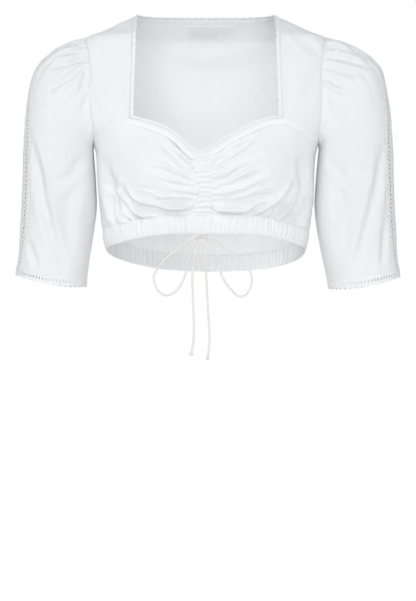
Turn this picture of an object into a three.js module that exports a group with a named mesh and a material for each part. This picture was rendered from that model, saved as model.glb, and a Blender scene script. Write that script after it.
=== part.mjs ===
// A dirndl blouse of white linen, filled out as if worn, with nobody in it.
// Millimetres, +Z up, +X to the viewer's right, and the front faces -Y.
// The origin lies between the two shoulders, level with the middle of the shoulder seams.
import * as THREE from 'three';

// Driving sizes
const CLOTH = 1.4;
const LACE = 1.1;
const SEAM = 0.35;
const FULLNESS = 0.3;

// The body at each level: half its width, and how far its front and back stand from the middle.
const BODY_LEVELS = [
  { z: 24, half: 88, front: 8, back: 60 },
  { z: 18.5, half: 95, front: 13, back: 65 },
  { z: 13, half: 104.5, front: 22, back: 69 },
  { z: 5, half: 122, front: 34, back: 75 },
  { z: -5, half: 143, front: 46, back: 82 },
  { z: -14, half: 166, front: 55, back: 88 },
  { z: -35, half: 174, front: 66, back: 96 },
  { z: -60, half: 178, front: 78, back: 102 },
  { z: -90, half: 182, front: 90, back: 107 },
  { z: -120, half: 177, front: 101, back: 109 },
  { z: -145, half: 166, front: 110, back: 109 },
  { z: -165, half: 157, front: 116, back: 107 },
  { z: -182, half: 153, front: 121, back: 105 },
  { z: -205, half: 151.5, front: 125, back: 102 },
  { z: -235, half: 150, front: 123, back: 99 },
  { z: -262, half: 147.5, front: 116, back: 97 },
  { z: -285, half: 143.4, front: 113, back: 97 },
  { z: -308, half: 138.5, front: 112, back: 98 },
  { z: -345, half: 136, front: 110, back: 100 },
];

// The cut of the bust fronts: their fullness over the bust, its middle and how far it spreads.
const BUST = { x: 76, z: -203, spreadX: 50, spreadZ: 40, rise: 12 };

// The armhole: its highest and lowest levels, and how far it cuts into the front and the back.
const ARMHOLE = { top: -14, bottom: -165, cutFront: 28, cutBack: 30 };
const BUST_SEAM_TURN = 160;
const BUST_SEAM_BOW = -2;

// The neck opening: the cloth's edge at the shoulder and at the corner over the bust. Its
// uprights bend in towards the shoulder by this power.
const NECK = {
  topZ: 13, cornerX: 108, cornerZ: -134, bend: 1.35,
  lace: 9, laceTopZ: 18.5, backLace: 7.5, backSeam: 0.5,
};

// The sweetheart edge of the cloth, from the centre to each corner, and the lace's width on it.
const SWEETHEART = {
  left: [
    { x: -6.3, z: -184.5, lace: 7 },
    { x: -18, z: -183, lace: 7 },
    { x: -27.5, z: -175.8, lace: 7 },
    { x: -48, z: -155.8, lace: 7 },
    { x: -72, z: -144.6, lace: 7 },
    { x: -90, z: -138.3, lace: 5.5 },
    { x: -108, z: -134, lace: 4.5 },
  ],
  right: [
    { x: -5.7, z: -184.5, lace: 7 },
    { x: 5.5, z: -181.2, lace: 7 },
    { x: 13, z: -176, lace: 7 },
    { x: 32, z: -163, lace: 7 },
    { x: 56, z: -149.8, lace: 7 },
    { x: 82, z: -138.2, lace: 5.5 },
    { x: 108, z: -134, lace: 4.5 },
  ],
};

// Where the sweetheart lace turns from upright at the centre, and into the mitre at the corner.
const LACE_TURNS = { upright: 0.12, mitre: 0.8 };

// The ruched centre front over the drawstring tunnel: its two edges at each level.
const TUNNEL_LEVELS = [
  { z: -184, left: -19, right: 5 },
  { z: -200, left: -16, right: 7 },
  { z: -213, left: -11, right: 7 },
  { z: -240, left: -10, right: 7 },
  { z: -253, left: -17, right: 10 },
  { z: -270, left: -20, right: 12 },
];
const RUCHES = { count: 11, depth: 1.5 };

// The elastic hem: its lower edge on each side, from the front (0 degrees) to the back (180).
const HEM_LINE = [
  { turn: 0, left: -290.4, right: -290.4 },
  { turn: 20, left: -291, right: -290.8 },
  { turn: 32, left: -293.8, right: -292.2 },
  { turn: 45, left: -298, right: -297.2 },
  { turn: 60, left: -303.4, right: -303.4 },
  { turn: 75, left: -307, right: -308.4 },
  { turn: 90, left: -311, right: -313.4 },
  { turn: 112, left: -321, right: -325 },
  { turn: 132, left: -329.5, right: -333.5 },
  { turn: 152, left: -337, right: -338.8 },
  { turn: 180, left: -341, right: -341 },
];
const HEM = { height: 24.5, pleatsFront: 58, pleatsBack: 54, depth: 1.9, proud: 0.6, flatEnds: 0.65 };

// How the pleats of the hem crowd and spread: two slow waves round each half.
const PLEAT_DRIFT = [
  { waves: 31, reach: 0.003 },
  { waves: 57, reach: 0.002 },
];

// The sleeve from head to hem: its outer and inner lines on each side in the front view, the
// levels of both lines, and half its depth. The right sleeve is puffed out a little more.
const SLEEVE_SECTIONS = [
  { s: 0, outLeft: 166.6, outRight: 166.6, outZ: -13.8, inLeft: 157.5, inRight: 157.5, inZ: -165.3, depth: 51 },
  { s: 0.05, outLeft: 184, outRight: 184.5, outZ: -18, inLeft: 157.7, inRight: 157.7, inZ: -168, depth: 56 },
  { s: 0.11, outLeft: 203, outRight: 206, outZ: -26, inLeft: 157.6, inRight: 157.6, inZ: -171, depth: 60 },
  { s: 0.17, outLeft: 222, outRight: 228, outZ: -39.5, inLeft: 157.2, inRight: 157.2, inZ: -175, depth: 62 },
  { s: 0.24, outLeft: 238, outRight: 245, outZ: -58, inLeft: 156.6, inRight: 156.6, inZ: -182, depth: 62 },
  { s: 0.32, outLeft: 247.5, outRight: 252.5, outZ: -86, inLeft: 155.6, inRight: 155.6, inZ: -192, depth: 61 },
  { s: 0.41, outLeft: 252, outRight: 258.5, outZ: -119, inLeft: 154.6, inRight: 154.4, inZ: -206, depth: 60 },
  { s: 0.53, outLeft: 255, outRight: 261, outZ: -163, inLeft: 153.4, inRight: 153, inZ: -227, depth: 59 },
  { s: 0.67, outLeft: 257, outRight: 263.5, outZ: -214, inLeft: 153, inRight: 152, inZ: -254, depth: 57.5 },
  { s: 0.82, outLeft: 259.3, outRight: 265.3, outZ: -270, inLeft: 157.5, inRight: 156.5, inZ: -291, depth: 56 },
  { s: 0.93, outLeft: 262.5, outRight: 268, outZ: -315, inLeft: 163.5, inRight: 164, inZ: -328, depth: 55 },
  { s: 1, outLeft: 266.5, outRight: 272, outZ: -346, inLeft: 167.5, inRight: 172, inZ: -363, depth: 55 },
];

// The sleeve's seam at the armhole, and where the shift to it has died out down the sleeve.
const HEAD_SEAM = { gap: 0.48, settled: 0.17 };
const CUFF = { laceStart: 0.979, dip: 6, dipRight: 3, dipFrom: 0.85 };

// The lace insertion: half its width, and how far its middle is turned to the front from the
// sleeve's outer line. At the head it passes behind that line.
const SLEEVE_LACE = { half: 9.5 };
const INSERTION_TURNS = [
  { s: 0, turn: -4 },
  { s: 0.12, turn: -2 },
  { s: 0.2, turn: 4 },
  { s: 0.28, turn: 14 },
  { s: 0.36, turn: 23 },
  { s: 0.46, turn: 28 },
  { s: 0.65, turn: 30 },
  { s: 0.85, turn: 29 },
  { s: 1, turn: 25 },
];

const HEAD_GATHERS = { count: 6, depth: 2.6, spread: 115, past: 1.4, reach: 0.2, atSeam: 0.4, growth: 12 };

// The largest folds, as soft troughs (or ridges) along three points in the front view.
const FRONT_FOLDS = [
  { x0: -114, z0: -236, x1: -83, z1: -256, x2: -50, z2: -261, width: 7, depth: 4 },
  { x0: -50, z0: -261, x1: -33, z1: -260, x2: -16, z2: -256, width: 6, depth: 3.5 },
  { x0: -57, z0: -173, x1: -41, z1: -191, x2: -15, z2: -215, width: 6, depth: 2 },
  { x0: -75, z0: -206, x1: -53, z1: -213, x2: -20, z2: -221, width: 6, depth: 2 },
  { x0: -53, z0: -236, x1: -31, z1: -237, x2: -9, z2: -236, width: 5, depth: 2 },
  { x0: -62, z0: -248, x1: -38, z1: -248, x2: -16, z2: -247, width: 6, depth: 3 },
  { x0: -110, z0: -260, x1: -92, z1: -268, x2: -75, z2: -275, width: 6, depth: 3 },
  { x0: 67, z0: -161, x1: 33, z1: -187, x2: 4, z2: -211, width: 6, depth: 2.5 },
  { x0: 72, z0: -192, x1: 27, z1: -215, x2: 1, z2: -226, width: 6, depth: 2.5 },
  { x0: 79, z0: -211, x1: 35, z1: -222, x2: 1, z2: -233, width: 6, depth: 2 },
  { x0: 68, z0: -250, x1: 45, z1: -248, x2: 12, z2: -248, width: 7, depth: 3.5 },
  { x0: 92, z0: -246, x1: 75, z1: -258, x2: 58, z2: -268, width: 6, depth: 4 },
  { x0: 119, z0: -238, x1: 100, z1: -254, x2: 72, z2: -270, width: 7, depth: 5 },
];
const BACK_FOLDS = [
  { x0: -118, z0: -190, x1: -98, z1: -232, x2: -90, z2: -292, width: 9, depth: 3 },
  { x0: 116, z0: -196, x1: 102, z1: -240, x2: 84, z2: -294, width: 9, depth: 3 },
  { x0: -34, z0: -226, x1: -28, z1: -262, x2: -30, z2: -304, width: 9, depth: 2.5 },
  { x0: 42, z0: -216, x1: 34, z1: -260, x2: 38, z2: -304, width: 9, depth: 2.5 },
];
const SLEEVE_FRONT_FOLDS = [
  { x0: -240, z0: -165, x1: -224, z1: -238, x2: -196, z2: -330, width: 9, depth: 3.5 },
  { x0: -182, z0: -215, x1: -196, z1: -262, x2: -188, z2: -318, width: 9, depth: 2.5 },
  { x0: 243, z0: -178, x1: 221, z1: -273, x2: 205, z2: -335, width: 9, depth: 3.5 },
  { x0: 180, z0: -222, x1: 188, z1: -262, x2: 184, z2: -312, width: 9, depth: 2.5 },
];
const SLEEVE_BACK_FOLDS = [
  { x0: -232, z0: -150, x1: -216, z1: -226, x2: -222, z2: -322, width: 10, depth: 3.5 },
  { x0: -176, z0: -196, x1: -190, z1: -226, x2: -212, z2: -250, width: 9, depth: 3 },
  { x0: 230, z0: -156, x1: 218, z1: -232, x2: 226, z2: -320, width: 10, depth: 3.5 },
  { x0: 176, z0: -200, x1: 192, z1: -230, x2: 214, z2: -252, width: 9, depth: 3 },
];

// The bare label inside the back, and the size tab beside it.
const LABEL = { fromX: -27, toX: 24, top: 9, bottom: -6, thick: 0.9 };
const SIZE_TAB = { fromX: 24.6, toX: 38, top: 8.5, bottom: -1.5, thick: 0.9 };

// The drawstring: its thickness, the bow's knot, and each free stretch as points chosen by hand.
// A stretch leaves the knot at a seat: its angle round the knot in the front view, and how far ahead.
const CORD = { radius: 1.5, sides: 8, straight: 3 };
const BOW_KNOT = { x: -5.5, y: -114.4, z: -294.3, width: 7, depth: 4.2, height: 3.4, around: 12, levels: 8 };
const END_KNOT = { radius: 2.4, around: 10, levels: 6 };
const LOOP_LEFT = {
  from: { around: 186, ahead: 0 },
  points: [
    [-21.7, -115.2, -299.6], [-32.5, -116.2, -307.4],
    [-43.4, -117, -315.6], [-53.9, -117.6, -325.1], [-65.3, -118, -337.9],
    [-71, -118, -349.3], [-68.2, -118, -363.2], [-60.5, -118, -372.6],
    [-51.4, -118, -375], [-41, -118, -369.3], [-32.5, -118, -357.7],
    [-26.7, -117.4, -342.1], [-22.2, -116, -322], [-17.2, -113.6, -308.5],
  ],
  to: { around: 214, ahead: -16 },
};
const LOOP_RIGHT = {
  from: { around: -6, ahead: 0 },
  points: [
    [16.3, -115.2, -300.6], [24.6, -116, -308.1],
    [33.4, -116.8, -316.4], [47.7, -117.4, -329.2], [58.5, -117.8, -340.5],
    [62.4, -118, -352.3], [59.6, -118, -366.5], [52.5, -118, -375.4],
    [44.4, -118, -376], [34.9, -118, -367.9], [24.8, -118, -355],
    [18.2, -117.4, -339.2], [14.2, -116, -320], [10, -113.6, -308],
  ],
  to: { around: -34, ahead: -16 },
};
const TAIL_LEFT = {
  from: { around: 238, ahead: 18 },
  points: [
    [-10.8, -117, -310], [-15.6, -117.6, -322], [-18.4, -118, -343.6],
    [-17.6, -118, -382.2], [-16.4, -118, -417.5], [-17.3, -118, -440], [-19.4, -118, -452.2],
  ],
};
const TAIL_RIGHT = {
  from: { around: -72, ahead: 18 },
  points: [
    [-0.3, -117, -311], [0.2, -118, -343.6], [2, -118, -382.2],
    [4.2, -118, -417.5], [4.8, -118, -440], [2.6, -118, -457.4],
  ],
};
const LOOP_STEPS = 25;
const TAIL_STEPS = 10;

// How finely each piece of cloth is divided, across and down.
const GRIDS = {
  yoke: { columns: 10, rows: 12 },
  bust: { rows: 13 },
  tunnel: { columns: 3, rowsPerRuche: 4 },
  back: { columns: 20, rows: 24 },
  hem: { columnsPerPleat: 3, rows: 1 },
  neckLace: { columns: 1, rows: 16 },
  backLace: { columns: 24, rows: 1 },
  bustLace: { columns: 16, rows: 1 },
  sleeve: { columns: 20, rows: 12 },
  sleeveLace: { columns: 2, rows: 12 },
  cuffLace: { columns: 32, rows: 1 },
  tab: { columns: 6, rows: 1 },
};

// Folds die out over this share of a piece at its seams.
const FOLD_ENDS = { front: 1 / 12, backTop: 1 / 8, sleeveHead: 0.1, sleeveHem: 0.07, underSeam: 25 };
const RIDGE = { share: 0.35, away: 1.7 };

// Colours and finishes
const FINISHES = {
  linen: { color: 0xf4f5f8, roughness: 0.9, metalness: 0 },
  lace: { color: 0xf8f8fa, roughness: 0.85, metalness: 0 },
  cord: { color: 0xf3f1ec, roughness: 0.8, metalness: 0 },
  label: { color: 0xeff1f5, roughness: 0.6, metalness: 0 },
};

const radians = THREE.MathUtils.degToRad;
const lerp = THREE.MathUtils.lerp;
const clamp = THREE.MathUtils.clamp;
const blouse = new THREE.Group();
blouse.name = 'dirndl_blouse';

function add(name, geometry, finish) {
  const mesh = new THREE.Mesh(geometry, new THREE.MeshStandardMaterial(FINISHES[finish]));
  mesh.name = name;
  blouse.add(mesh);
}

// A table's column at any place along its axis, as a smooth curve through the rows.
function tableValue(rows, axis, column, at) {
  const last = rows.length - 1;
  const rising = rows[last][axis] > rows[0][axis];
  let row = 0;
  while (row < last - 1 && (rising ? at > rows[row + 1][axis] : at < rows[row + 1][axis])) {
    row += 1;
  }
  const slope = (k) => {
    const before = rows[Math.max(k - 1, 0)];
    const after = rows[Math.min(k + 1, last)];
    return (after[column] - before[column]) / (after[axis] - before[axis]);
  };
  const here = rows[row];
  const next = rows[row + 1];
  const span = next[axis] - here[axis];
  const t = clamp((at - here[axis]) / span, 0, 1);
  const t2 = t * t;
  const t3 = t2 * t;
  return here[column] * (2 * t3 - 3 * t2 + 1) + next[column] * (3 * t2 - 2 * t3)
    + span * (slope(row) * (t3 - 2 * t2 + t) + slope(row + 1) * (t3 - t2));
}

// The body's form: turn is the angle from the middle of the front, in radians, + to the right.
function bodyPoint(turn, z) {
  const side = Math.sin(turn);
  const ahead = Math.cos(turn);
  const x = tableValue(BODY_LEVELS, 'z', 'half', z) * side;
  const reach = tableValue(BODY_LEVELS, 'z', ahead > 0 ? 'front' : 'back', z);
  let y = -reach * ahead * (1 + FULLNESS * side * side);
  if (ahead > 0) {
    const across = (Math.abs(x) - BUST.x) / BUST.spreadX;
    const up = (z - BUST.z) / BUST.spreadZ;
    y -= BUST.rise * Math.exp(-across * across - up * up) * (1 - side ** 8);
  }
  return new THREE.Vector3(x, y, z);
}

function bodyNormal(turn, z) {
  const step = 0.01;
  const lift = 0.6;
  const around = bodyPoint(turn + step, z).sub(bodyPoint(turn - step, z));
  const up = bodyPoint(turn, z + lift).sub(bodyPoint(turn, z - lift));
  return around.cross(up).normalize();
}

function turnAt(x, z) {
  return Math.asin(clamp(x / tableValue(BODY_LEVELS, 'z', 'half', z), -1, 1));
}

// How far from a fold's line a place is, in the fold's own widths.
function foldDistance(fold, x, z) {
  const corners = [[fold.x0, fold.z0], [fold.x1, fold.z1], [fold.x2, fold.z2]];
  let nearest = Infinity;
  for (let k = 0; k < 2; k += 1) {
    const [ax, az] = corners[k];
    const [bx, bz] = corners[k + 1];
    const span = (bx - ax) ** 2 + (bz - az) ** 2;
    const t = clamp(((x - ax) * (bx - ax) + (z - az) * (bz - az)) / span, 0, 1);
    nearest = Math.min(nearest, Math.hypot(x - lerp(ax, bx, t), z - lerp(az, bz, t)));
  }
  return nearest / fold.width;
}

function foldRelief(folds, point) {
  let relief = 0;
  for (const fold of folds) {
    const away = foldDistance(fold, point.x, point.z);
    const ridge = RIDGE.share * Math.exp(-((away - RIDGE.away) ** 2));
    relief -= fold.depth * (Math.exp(-away * away) - ridge);
  }
  return relief;
}

// A closed wall of cloth over a grid. place(u, v) gives its outer point and the way out of it.
function clothWall(columns, rows, thickness, place, closed = false) {
  const across = closed ? columns : columns + 1;
  const positions = [];
  const sheets = [[], []];
  for (let j = 0; j <= rows; j += 1) {
    for (let i = 0; i < across; i += 1) {
      const { point, normal } = place(i / columns, j / rows);
      sheets[0].push(point);
      sheets[1].push(point.clone().addScaledVector(normal, -thickness));
    }
  }
  for (const sheet of sheets) {
    for (const point of sheet) {
      positions.push(point.x, point.y, point.z);
    }
  }
  const size = sheets[0].length;
  const index = (sheet, i, j) => sheet * size + j * across + (i % across);
  const triangles = [];
  const quad = (a, b, c, d) => triangles.push(a, b, c, a, c, d);
  for (let j = 0; j < rows; j += 1) {
    for (let i = 0; i < columns; i += 1) {
      quad(index(0, i, j), index(0, i, j + 1), index(0, i + 1, j + 1), index(0, i + 1, j));
      quad(index(1, i, j), index(1, i + 1, j), index(1, i + 1, j + 1), index(1, i, j + 1));
    }
  }
  for (let i = 0; i < columns; i += 1) {
    quad(index(0, i, 0), index(0, i + 1, 0), index(1, i + 1, 0), index(1, i, 0));
    quad(index(0, i + 1, rows), index(0, i, rows), index(1, i, rows), index(1, i + 1, rows));
  }
  if (!closed) {
    for (let j = 0; j < rows; j += 1) {
      quad(index(0, 0, j + 1), index(0, 0, j), index(1, 0, j), index(1, 0, j + 1));
      quad(index(0, columns, j), index(0, columns, j + 1), index(1, columns, j + 1), index(1, columns, j));
    }
  }
  return closedGeometry(positions, triangles);
}

// The triangles as a geometry whose faces point out, whichever way the grid ran.
function closedGeometry(positions, triangles) {
  const corner = (k) => new THREE.Vector3().fromArray(positions, triangles[k] * 3);
  let volume = 0;
  for (let k = 0; k < triangles.length; k += 3) {
    volume += corner(k).dot(corner(k + 1).cross(corner(k + 2)));
  }
  if (volume < 0) {
    for (let k = 0; k < triangles.length; k += 3) {
      [triangles[k], triangles[k + 1]] = [triangles[k + 1], triangles[k]];
    }
  }
  const geometry = new THREE.BufferGeometry();
  geometry.setAttribute('position', new THREE.Float32BufferAttribute(positions, 3));
  geometry.setIndex(triangles);
  geometry.computeVertexNormals();
  return geometry;
}

// A panel on the body: locate(u, v) gives its turn and level, relief(point, u, v) its folds.
function bodyPanel(columns, rows, thickness, locate, relief = () => 0, closed = false) {
  return clothWall(columns, rows, thickness, (u, v) => {
    const { turn, z } = locate(u, v);
    const point = bodyPoint(turn, z);
    const normal = bodyNormal(turn, z);
    point.addScaledVector(normal, relief(point, u, v));
    return { point, normal };
  }, closed);
}

// Front pieces stop short of the side line, so that half a seam is left open there.
function frontTurn(turn, z) {
  const reach = tableValue(BODY_LEVELS, 'z', 'front', z) * (1 + FULLNESS);
  const most = Math.PI / 2 - SEAM / 2 / reach;
  return clamp(turn, -most, most);
}

function backTurn(turn, z) {
  const reach = tableValue(BODY_LEVELS, 'z', 'back', z) * (1 + FULLNESS);
  const most = Math.PI / 2 - SEAM / 2 / reach;
  return Math.PI + clamp(turn, -most, most);
}

// The armhole's edge, from the shoulder (0 degrees) to the underarm (180).
function armholeLevel(degrees) {
  const middle = (ARMHOLE.top + ARMHOLE.bottom) / 2;
  return middle + (ARMHOLE.top - ARMHOLE.bottom) / 2 * Math.cos(radians(degrees));
}

function armholeCut(degrees, front) {
  return radians(front ? ARMHOLE.cutFront : ARMHOLE.cutBack) * Math.sin(radians(degrees));
}

// The level of the seam over the hem casing: turn is + on the right and - on the left.
function hemTop(turn) {
  const degrees = Math.abs(THREE.MathUtils.radToDeg(turn));
  return tableValue(HEM_LINE, 'turn', turn < 0 ? 'left' : 'right', degrees) + HEM.height;
}

// The turn from the middle of the front, for one from the middle of the back.
function fromFront(swing) {
  return (swing < 0 ? -1 : 1) * (Math.PI - Math.abs(swing));
}

// The neck's upright edge on one side, from the shoulder seam down to the corner.
function neckEdge(side, t) {
  const z = lerp(NECK.topZ, NECK.cornerZ, t ** NECK.bend);
  const x = lerp(tableValue(BODY_LEVELS, 'z', 'half', NECK.topZ), NECK.cornerX, t);
  return { turn: turnAt(side * x, z), z };
}

function bustSeam(side, t) {
  const start = turnAt(NECK.cornerX, NECK.cornerZ);
  const end = Math.PI / 2 - armholeCut(BUST_SEAM_TURN, true);
  const z = lerp(NECK.cornerZ, armholeLevel(BUST_SEAM_TURN), t) + BUST_SEAM_BOW * 4 * t * (1 - t);
  return { turn: side * lerp(start, end, t), z };
}

function sweetheart(side, t) {
  const rows = (side < 0 ? SWEETHEART.left : SWEETHEART.right).map((row, place) => ({ ...row, place }));
  const at = t * (rows.length - 1);
  const value = (column) => tableValue(rows, 'place', column, at);
  return { x: value('x'), z: value('z'), lace: value('lace') };
}

function smoothStep(from, to, value) {
  const t = clamp((value - from) / (to - from), 0, 1);
  return t * t * (3 - 2 * t);
}

// The way across the sweetheart lace: upright at the centre, then square to the edge, and last
// along the mitre at the corner.
function laceWay(side, t) {
  const step = 0.01;
  const from = sweetheart(side, clamp(t - step, 0, 1));
  const to = sweetheart(side, clamp(t + step, 0, 1));
  const long = Math.hypot(to.x - from.x, to.z - from.z);
  const { lace } = sweetheart(side, t);
  const square = { x: -side * lace * (to.z - from.z) / long, z: side * lace * (to.x - from.x) / long };
  const bend = smoothStep(0, LACE_TURNS.upright, t);
  const corner = smoothStep(LACE_TURNS.mitre, 1, t);
  const x = lerp(0, square.x, bend);
  const z = lerp(lace, square.z, bend);
  return { x: lerp(x, -side * (NECK.lace - SEAM), corner), z: lerp(z, lace, corner) };
}

function makeYoke(side) {
  const trim = 1 - SEAM / 2 / (NECK.topZ - NECK.cornerZ);
  const locate = (u, along) => {
    const v = along * trim;
    const inner = neckEdge(side, v);
    const outerDegrees = BUST_SEAM_TURN * v;
    const outer = {
      turn: side * (Math.PI / 2 - armholeCut(outerDegrees, true)),
      z: armholeLevel(outerDegrees),
    };
    const corner = bustSeam(side, 0);
    const tip = bustSeam(side, 1);
    const seam = bustSeam(side, u);
    const turn = lerp(inner.turn, outer.turn, u) + v * (seam.turn - lerp(corner.turn, tip.turn, u));
    const z = lerp(inner.z, outer.z, u) + v * (seam.z - lerp(corner.z, tip.z, u));
    return { turn: frontTurn(turn, z), z };
  };
  return bodyPanel(GRIDS.yoke.columns, GRIDS.yoke.rows, CLOTH, locate);
}

// The bust front's top edge in three stretches: sweetheart, seam under the yoke, underarm.
const BUST_COLUMNS = { sweetheart: 9, seam: 5, underarm: 3 };

function bustTop(side, u) {
  const columns = BUST_COLUMNS.sweetheart + BUST_COLUMNS.seam + BUST_COLUMNS.underarm;
  const at = u * columns;
  if (at <= BUST_COLUMNS.sweetheart) {
    const rows = SWEETHEART.left.length - 1;
    const edge = sweetheart(side, lerp(1 / rows, 1, at / BUST_COLUMNS.sweetheart));
    return { turn: turnAt(edge.x, edge.z - SEAM / 2), z: edge.z - SEAM / 2 };
  }
  const past = at - BUST_COLUMNS.sweetheart;
  if (past <= BUST_COLUMNS.seam) {
    const edge = bustSeam(side, past / BUST_COLUMNS.seam);
    return { turn: edge.turn, z: edge.z - SEAM / 2 };
  }
  const degrees = lerp(BUST_SEAM_TURN, 180, (past - BUST_COLUMNS.seam) / BUST_COLUMNS.underarm);
  return { turn: side * (Math.PI / 2 - armholeCut(degrees, true)), z: armholeLevel(degrees) - SEAM / 2 };
}

function makeBust(side) {
  const columns = BUST_COLUMNS.sweetheart + BUST_COLUMNS.seam + BUST_COLUMNS.underarm;
  const edgeColumn = side < 0 ? 'left' : 'right';
  const tunnelEdge = (z) => turnAt(tableValue(TUNNEL_LEVELS, 'z', edgeColumn, z) + side * SEAM, z);
  const locate = (u, v) => {
    const top = bustTop(side, u);
    const startZ = lerp(bustTop(side, 0).z, hemTop(0), v);
    const start = tunnelEdge(startZ);
    const firstTop = bustTop(side, 0).turn;
    const lastTurn = tunnelEdge(hemTop(0));
    const bottomTurn = lerp(lastTurn, side * Math.PI / 2, u);
    const bottom = { turn: bottomTurn, z: hemTop(bottomTurn) + SEAM / 2 };
    const shift = (1 - u) * (start - lerp(firstTop, lastTurn, v));
    const z = lerp(top.z, bottom.z, v);
    return { turn: frontTurn(lerp(top.turn, bottom.turn, v) + shift, z), z };
  };
  const fade = (v) => Math.min(1, v / FOLD_ENDS.front, (1 - v) / FOLD_ENDS.front);
  const relief = (point, u, v) => foldRelief(FRONT_FOLDS, point) * fade(v);
  return bodyPanel(columns, GRIDS.bust.rows, CLOTH, locate, relief);
}

function makeTunnel() {
  const top = SWEETHEART.left[0].z - SEAM;
  const bottom = hemTop(0) + SEAM / 2;
  const locate = (u, v) => {
    const z = lerp(top, bottom, v);
    const left = tableValue(TUNNEL_LEVELS, 'z', 'left', z);
    const right = tableValue(TUNNEL_LEVELS, 'z', 'right', z);
    return { turn: turnAt(lerp(left, right, u), z), z };
  };
  const relief = (point, u, v) => {
    const wave = Math.sin(2 * Math.PI * RUCHES.count * v);
    return RUCHES.depth * wave * Math.sin(Math.PI * u);
  };
  return bodyPanel(GRIDS.tunnel.columns, RUCHES.count * GRIDS.tunnel.rowsPerRuche, CLOTH, locate, relief);
}

// The back's top edge runs along one shoulder seam, the neckline and the other shoulder seam.
const SHOULDER_SHARE = 0.15;
const UNDERARM_SHARE = 0.55;

function backTop(u) {
  const fromEnd = Math.min(u, 1 - u);
  const sign = u < 0.5 ? -1 : 1;
  if (fromEnd < SHOULDER_SHARE) {
    return { turn: sign * Math.PI / 2, z: lerp(ARMHOLE.top, NECK.topZ, fromEnd / SHOULDER_SHARE) };
  }
  const across = (u - 0.5) / (0.5 - SHOULDER_SHARE);
  return { turn: across * Math.PI / 2, z: NECK.topZ };
}

// How far the armhole cuts in beside a level of the back, and how far it shifts that level.
function backSide(side, v) {
  const low = hemTop(side * Math.PI / 2);
  const straight = lerp(ARMHOLE.top, low, v);
  if (v < UNDERARM_SHARE) {
    const degrees = 180 * v / UNDERARM_SHARE;
    return { cut: armholeCut(degrees, false), shift: armholeLevel(degrees) - straight };
  }
  const down = (v - UNDERARM_SHARE) / (1 - UNDERARM_SHARE);
  return { cut: 0, shift: lerp(ARMHOLE.bottom, low, down) - straight };
}

function backPlace(u, v) {
  const top = backTop(u);
  const bottomTurn = lerp(-Math.PI / 2, Math.PI / 2, u);
  const bottomZ = hemTop(fromFront(bottomTurn));
  const left = backSide(-1, v);
  const right = backSide(1, v);
  const turn = lerp(top.turn, bottomTurn, v) + lerp(left.cut, -right.cut, u);
  const z = lerp(top.z, bottomZ + SEAM / 2, v) + lerp(left.shift, right.shift, u);
  return { turn, z };
}

function makeBack() {
  const locate = (u, v) => {
    const { turn, z } = backPlace(u, v);
    return { turn: backTurn(-turn, z), z };
  };
  const fade = (v) => Math.min(1, v / FOLD_ENDS.backTop, (1 - v) / FOLD_ENDS.front);
  const relief = (point, u, v) => foldRelief(BACK_FOLDS, point) * fade(v);
  return bodyPanel(GRIDS.back.columns, GRIDS.back.rows, CLOTH, locate, relief);
}

// One half of the elastic hem casing, with its pleats as uneven waves.
function makeHemBand(front) {
  const pleats = front ? HEM.pleatsFront : HEM.pleatsBack;
  const locate = (u, v) => {
    const swing = lerp(-Math.PI / 2, Math.PI / 2, u);
    const z = hemTop(front ? swing : fromFront(swing)) - SEAM / 2 - v * (HEM.height - SEAM / 2);
    return { turn: front ? frontTurn(swing, z) : backTurn(-swing, z), z };
  };
  const relief = (point, u, v) => {
    const uneven = PLEAT_DRIFT.reduce((at, { waves, reach }) => at + reach * Math.sin(waves * u), u);
    const wave = Math.sin(2 * Math.PI * pleats * uneven);
    const full = lerp(HEM.flatEnds, 1, Math.sin(Math.PI * v));
    return HEM.proud + full * HEM.depth * (1 + wave) / 2;
  };
  return bodyPanel(pleats * GRIDS.hem.columnsPerPleat, GRIDS.hem.rows, CLOTH, locate, relief);
}

function makeNeckLace(side) {
  const cornerGap = 1 - 1.5 * SEAM / (NECK.topZ - NECK.cornerZ);
  const cornerLace = sweetheart(side, 1).lace;
  const locate = (u, along) => {
    const v = along * cornerGap;
    const cloth = neckEdge(side, v);
    const innerZ = lerp(NECK.laceTopZ, NECK.cornerZ + cornerLace, v ** NECK.bend);
    const top = tableValue(BODY_LEVELS, 'z', 'half', NECK.laceTopZ);
    const innerX = lerp(top, NECK.cornerX - NECK.lace, v);
    const inner = turnAt(side * innerX, innerZ);
    const over = lerp(SEAM / NECK.lace, 1, u);
    const z = lerp(cloth.z, innerZ, over);
    return { turn: frontTurn(lerp(cloth.turn, inner, over), z), z };
  };
  return bodyPanel(GRIDS.neckLace.columns, GRIDS.neckLace.rows, LACE, locate);
}

function makeBackLace() {
  const locate = (u, v) => {
    const turn = lerp(-Math.PI / 2, Math.PI / 2, u);
    const top = NECK.laceTopZ + (NECK.topZ + NECK.backLace - NECK.laceTopZ) * Math.cos(turn);
    const z = lerp(NECK.topZ + NECK.backSeam, top, v);
    return { turn: backTurn(turn, z), z };
  };
  return bodyPanel(GRIDS.backLace.columns, GRIDS.backLace.rows, LACE, locate);
}

function makeBustLace(side) {
  const locate = (u, v) => {
    const edge = sweetheart(side, u);
    const way = laceWay(side, u);
    const x = edge.x + way.x * v;
    const z = edge.z + SEAM / 2 + way.z * v;
    return { turn: turnAt(x, z), z };
  };
  return bodyPanel(GRIDS.bustLace.columns, GRIDS.bustLace.rows, LACE, locate);
}

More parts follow.
